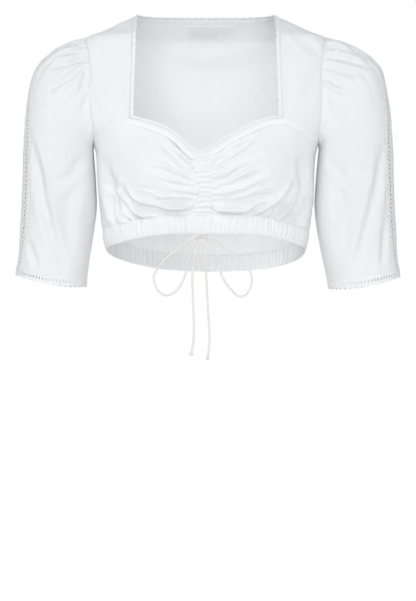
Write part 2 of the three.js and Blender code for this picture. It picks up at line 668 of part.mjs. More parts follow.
// The sleeve's form: turn is the angle round it from its outer line, in radians, + to the front.
function sleeveEllipse(side, s, turn) {
  const value = (column) => tableValue(SLEEVE_SECTIONS, 's', column, s);
  const outX = value(side < 0 ? 'outLeft' : 'outRight');
  const outZ = value('outZ');
  const inX = value(side < 0 ? 'inLeft' : 'inRight');
  const inZ = value('inZ');
  const swing = Math.cos(turn);
  const x = (outX + inX) / 2 + (outX - inX) / 2 * swing;
  const z = (outZ + inZ) / 2 + (outZ - inZ) / 2 * swing;
  return new THREE.Vector3(side * x, -value('depth') * Math.sin(turn), z);
}

function sleeveStart(side, turn) {
  const degrees = THREE.MathUtils.radToDeg(Math.abs(turn));
  const front = turn > 0;
  const z = armholeLevel(degrees);
  const ahead = Math.PI / 2 - armholeCut(degrees, front);
  const point = bodyPoint(side * (front ? ahead : Math.PI - ahead), z);
  point.x += side * HEAD_SEAM.gap;
  return point;
}

function sleevePoint(side, s, turn) {
  const point = sleeveEllipse(side, s, turn);
  const settle = Math.max(0, 1 - s / HEAD_SEAM.settled);
  const shift = sleeveStart(side, turn).sub(sleeveEllipse(side, 0, turn));
  point.addScaledVector(shift, settle * settle);
  const low = CUFF.dip * (1 - Math.cos(2 * turn)) / 2 + (side < 0 ? 0 : CUFF.dipRight);
  point.z -= low * clamp((s - CUFF.dipFrom) / (1 - CUFF.dipFrom), 0, 1) ** 2;
  return point;
}

function sleeveNormal(side, s, turn) {
  const step = 0.02;
  const slip = 0.004;
  const from = clamp(s - slip, 0, 1);
  const to = clamp(s + slip, 0, 1);
  const around = sleevePoint(side, s, turn + step).sub(sleevePoint(side, s, turn - step));
  const down = sleevePoint(side, to, turn).sub(sleevePoint(side, from, turn));
  return around.cross(down).multiplyScalar(side).normalize();
}

function sleeveRelief(point, s, turn) {
  const degrees = Math.abs(THREE.MathUtils.radToDeg(turn));
  const folds = turn > 0 ? SLEEVE_FRONT_FOLDS : SLEEVE_BACK_FOLDS;
  const ends = Math.min(1, s / FOLD_ENDS.sleeveHead, (CUFF.laceStart - s) / FOLD_ENDS.sleeveHem);
  const under = Math.min(1, (180 - degrees) / FOLD_ENDS.underSeam);
  const overTop = clamp(HEAD_GATHERS.past - degrees / HEAD_GATHERS.spread, 0, 1);
  const gathered = Math.exp(-((s / HEAD_GATHERS.reach) ** 2)) * overTop;
  const swing = Math.sin(2 * Math.PI * HEAD_GATHERS.count * degrees / HEAD_GATHERS.spread);
  const rise = Math.min(1, HEAD_GATHERS.atSeam + HEAD_GATHERS.growth * s);
  return Math.max(0, ends) * under * foldRelief(folds, point) + HEAD_GATHERS.depth * gathered * rise * swing;
}

// The middle of the lace insertion at a place down the sleeve.
function insertionTurn(s) {
  return radians(tableValue(INSERTION_TURNS, 's', 'turn', s));
}

function insertionHalf(side, s, width) {
  const middle = insertionTurn(s);
  const step = 0.02;
  const reach = sleevePoint(side, s, middle + step).distanceTo(sleevePoint(side, s, middle - step));
  return width * 2 * step / reach;
}

function sleeveWall(columns, rows, thickness, side, locate, withFolds) {
  return clothWall(columns, rows, thickness, (u, v) => {
    const { s, turn } = locate(u, v);
    const point = sleevePoint(side, s, turn);
    const normal = sleeveNormal(side, s, turn);
    const relief = withFolds ? sleeveRelief(point, s, turn) : 0;
    point.addScaledVector(normal, relief);
    return { point, normal };
  });
}

// Sections crowd towards the head, where the gathers are.
function downSleeve(v) {
  const crowding = 0.35;
  return CUFF.laceStart * lerp(v, v * v, crowding);
}

function makeSleeveHalf(side, front) {
  const halfSeam = 0.25;
  const under = Math.PI - radians(halfSeam);
  const locate = (u, v) => {
    const s = downSleeve(v);
    const half = insertionHalf(side, s, SLEEVE_LACE.half + SEAM);
    const start = insertionTurn(s) + (front ? half : -half);
    return { s, turn: lerp(start, front ? under : -under, u) };
  };
  return sleeveWall(GRIDS.sleeve.columns, GRIDS.sleeve.rows, CLOTH, side, locate, true);
}

function makeSleeveLace(side) {
  const locate = (u, v) => {
    const s = downSleeve(v);
    const half = insertionHalf(side, s, SLEEVE_LACE.half);
    return { s, turn: insertionTurn(s) + lerp(-half, half, u) };
  };
  return sleeveWall(GRIDS.sleeveLace.columns, GRIDS.sleeveLace.rows, LACE, side, locate, false);
}

function makeCuffLace(side) {
  const seamShare = 0.0012;
  const start = CUFF.laceStart + seamShare;
  return clothWall(GRIDS.cuffLace.columns, GRIDS.cuffLace.rows, LACE, (u, v) => {
    const s = lerp(start, 1, v);
    const turn = lerp(-Math.PI, Math.PI, u);
    return { point: sleevePoint(side, s, turn), normal: sleeveNormal(side, s, turn) };
  }, true);
}

// A bare woven tab inside the back, a little off the cloth.
function makeTab(tab) {
  const behind = CLOTH + SEAM;
  return clothWall(GRIDS.tab.columns, GRIDS.tab.rows, tab.thick, (u, v) => {
    const z = lerp(tab.top, tab.bottom, v);
    const turn = Math.PI - turnAt(lerp(tab.fromX, tab.toX, u), z);
    const normal = bodyNormal(turn, z);
    const point = bodyPoint(turn, z).addScaledVector(normal, -behind);
    return { point, normal };
  });
}

// The point where a cord meets the bow's knot, and the next one straight out of it.
function knotSeat(seat) {
  const around = radians(seat.around);
  const ahead = radians(seat.ahead);
  const x = BOW_KNOT.width * Math.cos(around) * Math.cos(ahead);
  const y = -BOW_KNOT.depth * Math.sin(ahead);
  const z = BOW_KNOT.height * Math.sin(around) * Math.cos(ahead);
  const out = new THREE.Vector3(x / BOW_KNOT.width ** 2, y / BOW_KNOT.depth ** 2, z / BOW_KNOT.height ** 2);
  out.normalize();
  const surface = new THREE.Vector3(BOW_KNOT.x + x, BOW_KNOT.y + y, BOW_KNOT.z + z);
  const start = surface.clone().addScaledVector(out, SEAM);
  return [start, start.clone().addScaledVector(out, CORD.straight)];
}

function cordRoute(cord) {
  const points = [...knotSeat(cord.from), ...cord.points.map((point) => new THREE.Vector3(...point))];
  if (cord.to) {
    points.push(...knotSeat(cord.to).reverse());
  }
  return points;
}

function makeCord(cord, steps) {
  const route = new THREE.CatmullRomCurve3(cordRoute(cord), false, 'centripetal');
  const section = new THREE.Shape();
  for (let k = 0; k < CORD.sides; k += 1) {
    const angle = 2 * Math.PI * k / CORD.sides;
    const place = [CORD.radius * Math.cos(angle), CORD.radius * Math.sin(angle)];
    if (k === 0) {
      section.moveTo(...place);
    } else {
      section.lineTo(...place);
    }
  }
  section.closePath();
  return new THREE.ExtrudeGeometry(section, { steps, bevelEnabled: false, extrudePath: route });
}

function makeEndKnot(cord) {
  const [before, last] = cordRoute(cord).slice(-2);
  const onward = last.clone().sub(before).normalize();
  const middle = last.addScaledVector(onward, END_KNOT.radius + SEAM);
  const ball = new THREE.SphereGeometry(END_KNOT.radius, END_KNOT.around, END_KNOT.levels);
  return ball.translate(middle.x, middle.y, middle.z);
}

function makeBowKnot() {
  const knot = new THREE.SphereGeometry(1, BOW_KNOT.around, BOW_KNOT.levels);
  knot.scale(BOW_KNOT.width, BOW_KNOT.depth, BOW_KNOT.height);
  return knot.translate(BOW_KNOT.x, BOW_KNOT.y, BOW_KNOT.z);
}

add('back', makeBack(), 'linen');
add('centre_tunnel', makeTunnel(), 'linen');
add('hem_band_front', makeHemBand(true), 'linen');
add('hem_band_back', makeHemBand(false), 'linen');
add('neck_lace_back', makeBackLace(), 'lace');
for (const [side, label] of [[-1, 'left'], [1, 'right']]) {
  add(`yoke_${label}`, makeYoke(side), 'linen');
  add(`bust_${label}`, makeBust(side), 'linen');
  add(`neck_lace_${label}`, makeNeckLace(side), 'lace');
  add(`bust_lace_${label}`, makeBustLace(side), 'lace');
  add(`sleeve_front_${label}`, makeSleeveHalf(side, true), 'linen');
  add(`sleeve_back_${label}`, makeSleeveHalf(side, false), 'linen');
  add(`sleeve_lace_${label}`, makeSleeveLace(side), 'lace');
  add(`cuff_lace_${label}`, makeCuffLace(side), 'lace');
}
add('neck_label', makeTab(LABEL), 'label');
add('size_tab', makeTab(SIZE_TAB), 'label');
add('bow_knot', makeBowKnot(), 'cord');
add('loop_left', makeCord(LOOP_LEFT, LOOP_STEPS), 'cord');
add('loop_right', makeCord(LOOP_RIGHT, LOOP_STEPS), 'cord');
add('tail_left', makeCord(TAIL_LEFT, TAIL_STEPS), 'cord');
add('tail_right', makeCord(TAIL_RIGHT, TAIL_STEPS), 'cord');
add('end_knot_left', makeEndKnot(TAIL_LEFT), 'cord');
add('end_knot_right', makeEndKnot(TAIL_RIGHT), 'cord');

export default blouse;
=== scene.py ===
import math

import bpy
import numpy as np
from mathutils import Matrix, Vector


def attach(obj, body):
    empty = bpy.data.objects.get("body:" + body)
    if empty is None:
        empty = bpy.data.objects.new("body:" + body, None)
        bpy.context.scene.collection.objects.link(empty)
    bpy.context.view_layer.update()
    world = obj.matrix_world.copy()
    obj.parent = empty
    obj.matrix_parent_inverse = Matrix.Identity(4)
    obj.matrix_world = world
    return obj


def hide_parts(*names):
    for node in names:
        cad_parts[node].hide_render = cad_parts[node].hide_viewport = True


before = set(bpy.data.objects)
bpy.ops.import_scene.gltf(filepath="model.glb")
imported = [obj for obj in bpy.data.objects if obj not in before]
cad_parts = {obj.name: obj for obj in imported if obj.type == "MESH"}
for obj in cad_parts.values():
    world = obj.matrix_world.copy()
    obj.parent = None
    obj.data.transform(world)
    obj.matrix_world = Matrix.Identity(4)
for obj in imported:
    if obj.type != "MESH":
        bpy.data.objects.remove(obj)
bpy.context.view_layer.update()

MM = 0.001
BODY = "root"


def table(columns, *rows):
    """Rows of values under named columns."""
    return [dict(zip(columns.split(), row)) for row in rows]


# Camera and picture frame: 601 pixels of height take in 841 mm at the middle of the blouse
CAMERA = dict(x=2.8, z=-382.0, away=4000.0, picture_height=841.4, sensor=36.0)

# The free stretches of the drawstring, as given points, in metres
CORD_RADIUS = 0.0015
CORD_STRAIGHT = 0.003
KNOT_GAP = 0.00035
BOW_KNOT = dict(x=-0.0055, y=-0.1144, z=-0.2943, width=0.007, depth=0.0042, height=0.0034)
END_KNOT_RADIUS = 0.0024
LOOP_LEFT = dict(
    start=dict(around=186, ahead=0),
    points=[
        (-0.0217, -0.1152, -0.2996), (-0.0325, -0.1162, -0.3074),
        (-0.0434, -0.117, -0.3156), (-0.0539, -0.1176, -0.3251), (-0.0653, -0.118, -0.3379),
        (-0.071, -0.118, -0.3493), (-0.0682, -0.118, -0.3632), (-0.0605, -0.118, -0.3726),
        (-0.0514, -0.118, -0.375), (-0.041, -0.118, -0.3693), (-0.0325, -0.118, -0.3577),
        (-0.0267, -0.1174, -0.3421), (-0.0222, -0.116, -0.322), (-0.0172, -0.1136, -0.3085),
    ],
    end=dict(around=214, ahead=-16),
)
LOOP_RIGHT = dict(
    start=dict(around=-6, ahead=0),
    points=[
        (0.0163, -0.1152, -0.3006), (0.0246, -0.116, -0.3081),
        (0.0334, -0.1168, -0.3164), (0.0477, -0.1174, -0.3292), (0.0585, -0.1178, -0.3405),
        (0.0624, -0.118, -0.3523), (0.0596, -0.118, -0.3665), (0.0525, -0.118, -0.3754),
        (0.0444, -0.118, -0.376), (0.0349, -0.118, -0.3679), (0.0248, -0.118, -0.355),
        (0.0182, -0.1174, -0.3392), (0.0142, -0.116, -0.32), (0.01, -0.1136, -0.308),
    ],
    end=dict(around=-34, ahead=-16),
)
TAIL_LEFT = dict(
    start=dict(around=238, ahead=18),
    points=[
        (-0.0108, -0.117, -0.31), (-0.0156, -0.1176, -0.322), (-0.0184, -0.118, -0.3436),
        (-0.0176, -0.118, -0.3822), (-0.0164, -0.118, -0.4175), (-0.0173, -0.118, -0.44),
        (-0.0194, -0.118, -0.4522),
    ],
    end=None,
)
TAIL_RIGHT = dict(
    start=dict(around=-72, ahead=18),
    points=[
        (-0.0003, -0.117, -0.311), (0.0002, -0.118, -0.3436), (0.002, -0.118, -0.3822),
        (0.0042, -0.118, -0.4175), (0.0048, -0.118, -0.44), (0.0026, -0.118, -0.4574),
    ],
    end=None,
)

# How thick the cloths are, and how much the body rounds out towards its sides
SHELL = 0.5
LACE_SHELL = 0.55
EDGING_SHELL = 0.6
TAPE_SHELL = 0.45
FULLNESS = 0.3

# How far a seam's pinch reaches
SEAM_REACH = 1.8

# How many cells each cloth's grid has, across and down
GRIDS = dict(yoke=(56, 120), bust=(170, 150), edging=(200, 8), tunnel=(26, 170), back=(170, 150),
             sleeve=(96, 170), tape=(40, 14))
HEM_CELLS = dict(each_pleat=8, down=12)

# The body at each level: half its width, and how far its front and back stand from the middle
BODY_LEVELS = table(
    "z half front back",
    (24, 88, 8, 60),
    (18.5, 95, 13, 65),
    (13, 104.5, 22, 69),
    (5, 122, 34, 75),
    (-5, 143, 46, 82),
    (-14, 166, 55, 88),
    (-35, 174, 66, 96),
    (-60, 178, 78, 102),
    (-90, 182, 90, 107),
    (-120, 177, 101, 109),
    (-145, 166, 110, 109),
    (-165, 157, 116, 107),
    (-182, 153, 121, 105),
    (-205, 151.5, 125, 102),
    (-235, 150, 123, 99),
    (-262, 147.5, 116, 97),
    (-285, 143.4, 113, 97),
    (-308, 138.5, 112, 98),
    (-345, 136, 110, 100),
)
BUST = dict(x=76, z=-203, spread_x=50, spread_z=40, rise=12)
ARMHOLE = dict(top=-14, bottom=-165, cut_front=28, cut_back=30)
BUST_SEAM_TURN = 160
BUST_SEAM_BOW = -2
NECK = dict(top_z=13, corner_x=108, corner_z=-134, bend=1.35, lace=9, lace_top_z=18.5, back_lace=7.5)
SWEETHEART = {
    -1: table(
        "x z lace",
        (-6.3, -184.5, 7), (-18, -183, 7), (-27.5, -175.8, 7), (-48, -155.8, 7), (-72, -144.6, 7),
        (-90, -138.3, 5.5), (-108, -134, 4.5),
    ),
    1: table(
        "x z lace",
        (-5.7, -184.5, 7), (5.5, -181.2, 7), (13, -176, 7), (32, -163, 7), (56, -149.8, 7),
        (82, -138.2, 5.5), (108, -134, 4.5),
    ),
}
LACE_TURNS = dict(upright=0.12, mitre=0.8)
TUNNEL_LEVELS = table(
    "z left right",
    (-184, -19, 5),
    (-200, -16, 7),
    (-213, -11, 7),
    (-240, -10, 7),
    (-253, -17, 10),
    (-270, -20, 12),
)
HEM_LINE = table(
    "turn left right",
    (0, -290.4, -290.4),
    (20, -291, -290.8),
    (32, -293.8, -292.2),
    (45, -298, -297.2),
    (60, -303.4, -303.4),
    (75, -307, -308.4),
    (90, -311, -313.4),
    (112, -321, -325),
    (132, -329.5, -333.5),
    (152, -337, -338.8),
    (180, -341, -341),
)
HEM = dict(height=24.5, depth=2.5, proud=0.5)
HEM_PLEATS = dict(front=58, back=54)
HEM_SEEDS = dict(front=11, back=12)

# The pleats' run up into the cloth over the casing: how high they are, and how far up they go
RUN_UP = dict(high=1.4, level=0.3, least=9, more=7)

# The bust front's top edge in three stretches: sweetheart, seam under the yoke, underarm
BUST_SHARES = dict(sweetheart=9 / 17, seam=5 / 17, underarm=3 / 17)

# The folded band along that edge; past the corner it goes on clearly on the right only
BAND = dict(width=6.8, rise=0.85, groove=0.5, faint=0.35, clear=0.9)

# The shares of the back's top that its shoulders take, and of its sides that the armholes take
SHOULDER_SHARE = 0.15
UNDERARM_SHARE = 0.55

# Beside the tunnel the bust is ruched, and low down its fullness laps over the hem casing
TUNNEL_RUCHES = dict(high=0.9, reach=13, pitch=7.2)
HEM_LAP = dict(high=1.1, above=9, reach=6)
TUNNEL = dict(ruches=12, depth=1.15, arch=0.5, pouch=1.5, pinch=2.2, pinch_z=-257)

# The sleeve from head to hem: its outer and inner lines on each side, and half its depth
SLEEVE_SECTIONS = table(
    "s out_left out_right out_z in_left in_right in_z depth",
    (0, 166.6, 166.6, -13.8, 157.5, 157.5, -165.3, 51),
    (0.05, 184, 184.5, -18, 157.7, 157.7, -168, 56),
    (0.11, 203, 206, -26, 157.6, 157.6, -171, 60),
    (0.17, 222, 228, -39.5, 157.2, 157.2, -175, 62),
    (0.24, 238, 245, -58, 156.6, 156.6, -182, 62),
    (0.32, 247.5, 252.5, -86, 155.6, 155.6, -192, 61),
    (0.41, 252, 258.5, -119, 154.6, 154.4, -206, 60),
    (0.53, 255, 261, -163, 153.4, 153, -227, 59),
    (0.67, 257, 263.5, -214, 153, 152, -254, 57.5),
    (0.82, 259.3, 265.3, -270, 157.5, 156.5, -291, 56),
    (0.93, 262.5, 268, -315, 163.5, 164, -328, 55),
    (1, 266.5, 272, -346, 167.5, 172, -363, 55),
)
HEAD_SETTLED = 0.17
CUFF = dict(lace_start=0.979, dip=6, dip_right=3, dip_from=0.85)
SLEEVE_LACE_HALF = 9.5
INSERTION_TURNS = table(
    "s turn",
    (0, -4), (0.12, -2), (0.2, 4), (0.28, 14), (0.36, 23),
    (0.46, 28), (0.65, 30), (0.85, 29), (1, 25),
)
HEAD_GATHERS = dict(count=6, depth=2.08, spread=115, reach=0.2)
FINE_GATHERS = dict(depth=0.9, pitch=7.5, reach=0.06)

# Folds, each a line in the front view with its width and depth. A ridge runs on
# each side of the trough; lean moves it to the left-hand side (+) or the right-hand side (-).
RIDGE = dict(share=0.42, away=1.75, width=0.85)
FOLD_STRENGTH = 1.75
FOLD_END = 0.25
FRONT_FOLDS = table(
    "width depth lean line",
    (4.5, 2.4, 0.3, [(-62, -168), (-41, -187), (-23, -203), (-12, -213)]),
    (3.5, 1.6, 0.2, [(-46, -164), (-30, -177), (-18, -190)]),
    (4.5, 2.2, 0.2, [(-84, -200), (-51, -209), (-30, -217), (-9, -225)]),
    (3, 1.2, 0, [(-46, -201), (-27, -209), (-13, -216)]),
    (3.2, 1.6, 0.2, [(-48, -224), (-24, -228), (-10, -231)]),
    (3, 1.5, -0.2, [(-58, -238), (-30, -238), (-10, -240)]),
    (4.5, 3, 0.4, [(-70, -250), (-41, -247), (-17, -248)]),
    (4.5, 4.2, 0.5, [(-116, -226), (-112, -236), (-101, -250), (-85, -256), (-70, -258),
                     (-51, -262), (-29, -262), (-16, -256)]),
    (4, 4.4, 0.3, [(-117, -240), (-110, -255), (-100, -266), (-86, -275), (-68, -280)]),
    (3.5, 3.2, 0, [(-112, -266), (-100, -278), (-84, -285)]),
    (2.8, 1.6, 0, [(-92, -271), (-75, -274), (-60, -274)]),
    (6, 3.6, 0.3, [(-128, -212), (-126, -236), (-118, -262)]),
    (6, 2.8, 0, [(-138, -190), (-134, -226), (-128, -258)]),
    (3.5, 2.8, 0.2, [(-134, -240), (-130, -258), (-122, -282)]),
    (3.5, 1.2, 0, [(16, -181), (37, -175), (56, -168)]),
    (4.5, 2.4, -0.3, [(5, -204), (19, -192), (42, -179), (64, -160)]),
    (3.2, 1.2, 0, [(4, -213), (22, -203), (46, -190)]),
    (4.5, 2.5, -0.3, [(2, -223), (24, -218), (47, -204), (76, -186)]),
    (4.5, 2.2, -0.2, [(4, -232), (24, -229), (47, -220), (80, -208)]),
    (3.2, 1.3, 0, [(6, -240), (30, -240), (58, -234)]),
    (5, 3.2, -0.4, [(12, -250), (39, -249), (64, -245), (84, -238)]),
    (2.6, 2.6, -0.6, [(18, -264), (39, -267.5), (55, -269)]),
    (3.6, 3.2, 0.4, [(56, -269), (66, -258), (82, -251)]),
    (4.2, 6, 0.4, [(62, -273), (84, -262), (101, -251), (114, -235), (122, -222)]),
    (3.8, 5.4, 0.3, [(78, -276), (101, -260), (118, -241), (126, -228)]),
    (4, 4.6, 0.2, [(96, -280), (112, -266), (124, -250), (133, -230)]),
    (3.4, 3.6, 0.2, [(112, -282), (124, -268), (134, -250)]),
    (6, 3, 0, [(130, -190), (133, -220), (137, -250)]),
    (3.5, 3.2, 0, [(122, -284), (132, -266), (139, -246)]),
)
# Raised rolls of cloth: the tuck beside the tunnel and the fullness over the left crease
FRONT_ROLLS = table(
    "width depth lean line",
    (5, -2.6, 0, [(12, -256), (34, -258), (54, -261)]),
    (4.5, -2, 0, [(-24, -254), (-50, -254.5), (-74, -252)]),
)
YOKE_FOLDS = table(
    "width depth lean line",
    (7, 1.5, 0, [(-158, -44), (-140, -70), (-120, -98)]),
    (7, 1.2, 0, [(-150, -60), (-138, -90), (-130, -118)]),
    (5, 1.1, 0, [(-128, -8), (-116, -3), (-107, 1)]),
    (6, 1.2, 0, [(-156, -96), (-150, -120), (-140, -138)]),
    (6, 1.6, 0, [(112, 0), (134, -23), (153, -42)]),
    (5, 1.2, 0, [(133, -8), (147, -26), (158, -40)]),
    (7, 1.3, 0, [(154, -62), (144, -88), (138, -112)]),
)
BACK_FOLDS = table(
    "width depth lean line",
    (9, 3, 0.2, [(-124, -176), (-108, -214), (-96, -256), (-92, -300)]),
    (9, 3, -0.2, [(122, -180), (106, -220), (94, -262), (88, -302)]),
    (7, 2.2, 0, [(-62, -238), (-58, -270), (-60, -308)]),
    (9, 2.6, 0.2, [(-22, -216), (-26, -262), (-24, -310)]),
    (6, 1.8, 0, [(20, -244), (17, -276), (20, -312)]),
    (9, 2.6, -0.2, [(56, -222), (50, -262), (54, -308)]),
    (9, 1.8, 0, [(-140, -60), (-118, -84), (-92, -100)]),
    (9, 1.8, 0, [(142, -56), (120, -82), (94, -96)]),
    (12, 1.3, 0, [(-84, -18), (-40, -30), (0, -33), (44, -30), (86, -18)]),
    (6, 1.8, 0, [(-136, -214), (-128, -250), (-124, -290)]),
    (6, 1.8, 0, [(136, -210), (130, -248), (122, -292)]),
)
SLEEVE_FRONT_FOLDS = table(
    "width depth lean line",
    (6.5, 3, 0.2, [(-244, -160), (-233, -202), (-226, -240), (-213, -290), (-196, -336)]),
    (5, 1.6, 0, [(-247, -300), (-240, -318), (-234, -336)]),
    (6, 1.2, 0, [(-214, -238), (-205, -244), (-196, -246)]),
    (9, 1.8, 0, [(-178, -214), (-192, -262), (-190, -322)]),
    (7, 1.6, 0, [(-172, -184), (-184, -206), (-204, -222)]),
    (4.5, 2.6, 0.3, [(-166, -54), (-178, -63), (-204, -82), (-218, -94)]),
    (4, 2.6, 0.2, [(-166, -45), (-182, -50), (-214, -58)]),
    (3.6, 2, 0, [(-168, -38), (-186, -38), (-204, -42)]),
    (3.6, 1.6, 0, [(-168, -26), (-184, -25), (-200, -30)]),
    (4, 2, 0, [(-165, -62), (-168, -78), (-174, -100)]),
    (4, 1.2, 0, [(-162, -78), (-164, -98), (-170, -118)]),
    (6.5, 3, -0.2, [(246, -172), (236, -226), (224, -276), (205, -338)]),
    (5, 1.8, 0, [(251, -268), (247, -300), (244, -334)]),
    (9, 1.8, 0, [(180, -214), (190, -262), (188, -318)]),
    (7, 1.6, 0, [(174, -188), (188, -210), (208, -224)]),
    (4, 2.6, -0.2, [(164, -42), (188, -46), (222, -58)]),
    (3.8, 2.2, 0, [(168, -29), (203, -33), (226, -46)]),
    (4, 2.4, 0, [(162, -72), (174, -78), (192, -92)]),
    (4, 2.6, -0.2, [(162, -55), (180, -61), (210, -70)]),
    (4, 1.4, 0, [(161, -86), (166, -104), (174, -122)]),
)
SLEEVE_BACK_FOLDS = table(
    "width depth lean line",
    (8, 3, 0, [(-234, -146), (-222, -190), (-218, -240), (-224, -322)]),
    (8, 2.8, 0, [(-174, -190), (-188, -222), (-212, -248)]),
    (8, 2, 0, [(-172, -250), (-190, -284), (-198, -330)]),
    (4.5, 2.4, 0, [(-168, -40), (-190, -52), (-216, -74)]),
    (4.5, 2.4, 0, [(-166, -58), (-180, -74), (-198, -98)]),
    (8, 3, 0, [(232, -150), (222, -196), (218, -246), (226, -320)]),
    (8, 2.8, 0, [(174, -194), (190, -226), (214, -250)]),
    (8, 2, 0, [(172, -254), (188, -288), (196, -332)]),
    (4.5, 2.4, 0, [(168, -38), (192, -50), (218, -72)]),
    (4.5, 2.4, 0, [(166, -60), (182, -78), (200, -102)]),
)

# Small creases, scattered within each region and near its direction, in degrees
FRONT_CREASES = table(
    "x z angle spread count length depth",
    ((-54, -14), (-216, -188), -40, 7, 7, (24, 50), (0.5, 1.0)),
    ((-80, -14), (-242, -214), -11, 7, 9, (26, 60), (0.4, 1.0)),
    ((-104, -24), (-280, -248), -4, 9, 9, (22, 50), (0.4, 1.0)),
    ((-144, -98), (-284, -218), -62, 9, 9, (24, 56), (0.3, 0.9)),
    ((14, 56), (-214, -184), 40, 7, 7, (24, 50), (0.5, 1.0)),
    ((14, 84), (-242, -212), 13, 7, 9, (26, 60), (0.4, 1.0)),
    ((20, 66), (-280, -248), 2, 9, 7, (20, 44), (0.4, 1.0)),
    ((72, 140), (-284, -226), 50, 8, 13, (22, 56), (0.5, 1.2)),
    ((-136, 136), (-204, -158), 0, 60, 6, (20, 40), (0.15, 0.3)),
)
YOKE_CREASES = table(
    "x z angle spread count length depth",
    ((-160, -114), (-125, -8), -60, 25, 8, (16, 36), (0.2, 0.5)),
    ((114, 160), (-125, -8), 60, 25, 8, (16, 36), (0.2, 0.5)),
)
SLEEVE_CREASES = table(
    "x z angle spread count length depth",
    ((-208, -168), (-112, -26), 24, 14, 16, (18, 44), (0.4, 1.0)),
    ((-248, -176), (-320, -130), -80, 16, 12, (30, 80), (0.3, 0.7)),
    ((168, 208), (-112, -26), -24, 14, 16, (18, 44), (0.4, 1.0)),
    ((176, 252), (-320, -130), 80, 16, 12, (30, 80), (0.3, 0.7)),
)
BACK_CREASES = table(
    "x z angle spread count length depth",
    ((-126, 126), (-312, -276), 90, 14, 34, (12, 34), (0.4, 0.9)),
    ((-150, 150), (-200, -40), 90, 60, 14, (20, 50), (0.15, 0.3)),
)

CREASE_SEEDS = dict(yoke=31, front=32, back=33, sleeve_front=34, sleeve_back=35)

# Soft waves in each cloth: how high, how long, and the seed they come from
WAVES = dict(
    yoke=table("high length seed", (0.35, 34, 3)),
    bust=table("high length seed", (0.3, 30, 4), (0.12, 11, 5)),
    tunnel=table("high length seed", (0.2, 9, 8)),
    back=table("high length seed", (0.5, 46, 9), (0.15, 15, 10)),
    sleeve=table("high length seed", (0.7, 60, 23), (0.2, 17, 24)),
)

# The bare label inside the back, and the size tab beside it
LABEL = dict(from_x=-27, to_x=24, top=9, bottom=-6)
SIZE_TAB = dict(from_x=24.6, to_x=38, top=8.5, bottom=-1.5)
TAPE_BEHIND = 1.2


# Curves and the garment's form

def curve(rows, axis, column, at):
    """A table's column at any places along its axis, as a smooth curve through the rows."""
    ordered = sorted(rows, key=lambda row: row[axis])
    places = np.array([row[axis] for row in ordered], float)
    values = np.array([row[column] for row in ordered], float)
    last = len(places) - 1
    before = np.maximum(np.arange(last + 1) - 1, 0)
    after = np.minimum(np.arange(last + 1) + 1, last)
    slopes = (values[after] - values[before]) / (places[after] - places[before])
    at = np.asarray(at, float)
    row = np.clip(np.searchsorted(places, at) - 1, 0, last - 1)
    span = places[row + 1] - places[row]
    t = np.clip((at - places[row]) / span, 0, 1)
    t2 = t * t
    t3 = t2 * t
    return (values[row] * (2 * t3 - 3 * t2 + 1) + values[row + 1] * (3 * t2 - 2 * t3)
            + span * (slopes[row] * (t3 - 2 * t2 + t) + slopes[row + 1] * (t3 - t2)))


def mix(a, b, t):
    return a + (b - a) * t


def smooth(low, high, value):
    t = np.clip((value - low) / (high - low), 0, 1)
    return t * t * (3 - 2 * t)


def unit(vectors):
    return vectors / np.maximum(np.linalg.norm(vectors, axis=-1, keepdims=True), 1e-9)


def body_half(z):
    return curve(BODY_LEVELS, "z", "half", z)


def body_point(turn, z):
    side = np.sin(turn)
    ahead = np.cos(turn)
    x = body_half(z) * side
    reach = np.where(ahead > 0, curve(BODY_LEVELS, "z", "front", z), curve(BODY_LEVELS, "z", "back", z))
    y = -reach * ahead * (1 + FULLNESS * side * side)
    across = (np.abs(x) - BUST["x"]) / BUST["spread_x"]
    up = (z - BUST["z"]) / BUST["spread_z"]
    rise = BUST["rise"] * np.exp(-across ** 2 - up ** 2) * (1 - side ** 8)
    y = y - np.where(ahead > 0, rise, 0)
    return np.stack(np.broadcast_arrays(x, y, z), -1)


def body_normal(turn, z):
    step = 0.01
    lift = 0.6
    around = body_point(turn + step, z) - body_point(turn - step, z)
    up = body_point(turn, z + lift) - body_point(turn, z - lift)
    return unit(np.cross(around, up))


def body_form(turn, z):
    return body_point(turn, z), body_normal(turn, z)


def turn_at(x, z):
    return np.arcsin(np.clip(x / body_half(z), -1, 1))


def armhole_level(degrees):
    middle = (ARMHOLE["top"] + ARMHOLE["bottom"]) / 2
    return middle + (ARMHOLE["top"] - ARMHOLE["bottom"]) / 2 * np.cos(np.radians(degrees))


def armhole_cut(degrees, front):
    widest = np.where(front, ARMHOLE["cut_front"], ARMHOLE["cut_back"])
    return np.radians(widest) * np.sin(np.radians(degrees))


def hem_top(turn):
    """The level of the seam over the hem casing: turn is + on the right and - on the left."""
    degrees = np.degrees(np.abs(turn))
    left = curve(HEM_LINE, "turn", "left", degrees)
    right = curve(HEM_LINE, "turn", "right", degrees)
    return np.where(turn < 0, left, right) + HEM["height"]


def from_front(swing):
    """The turn from the middle of the front, for one from the middle of the back."""
    return np.where(swing < 0, -1, 1) * (math.pi - np.abs(swing))


def neck_edge(side, t):
    z = mix(NECK["top_z"], NECK["corner_z"], t ** NECK["bend"])
    x = mix(body_half(NECK["top_z"]), NECK["corner_x"], t)
    return turn_at(side * x, z), z


def bust_seam(side, t):
    start = turn_at(NECK["corner_x"], NECK["corner_z"])
    end = math.pi / 2 - armhole_cut(BUST_SEAM_TURN, True)
    z = mix(NECK["corner_z"], armhole_level(BUST_SEAM_TURN), t) + BUST_SEAM_BOW * 4 * t * (1 - t)
    return side * mix(start, end, t), z


def sweetheart_column(side, t, column):
    rows = [dict(row, place=place) for place, row in enumerate(SWEETHEART[side])]
    return curve(rows, "place", column, t * (len(rows) - 1))


def sweetheart(side, t):
    return sweetheart_column(side, t, "x"), sweetheart_column(side, t, "z")


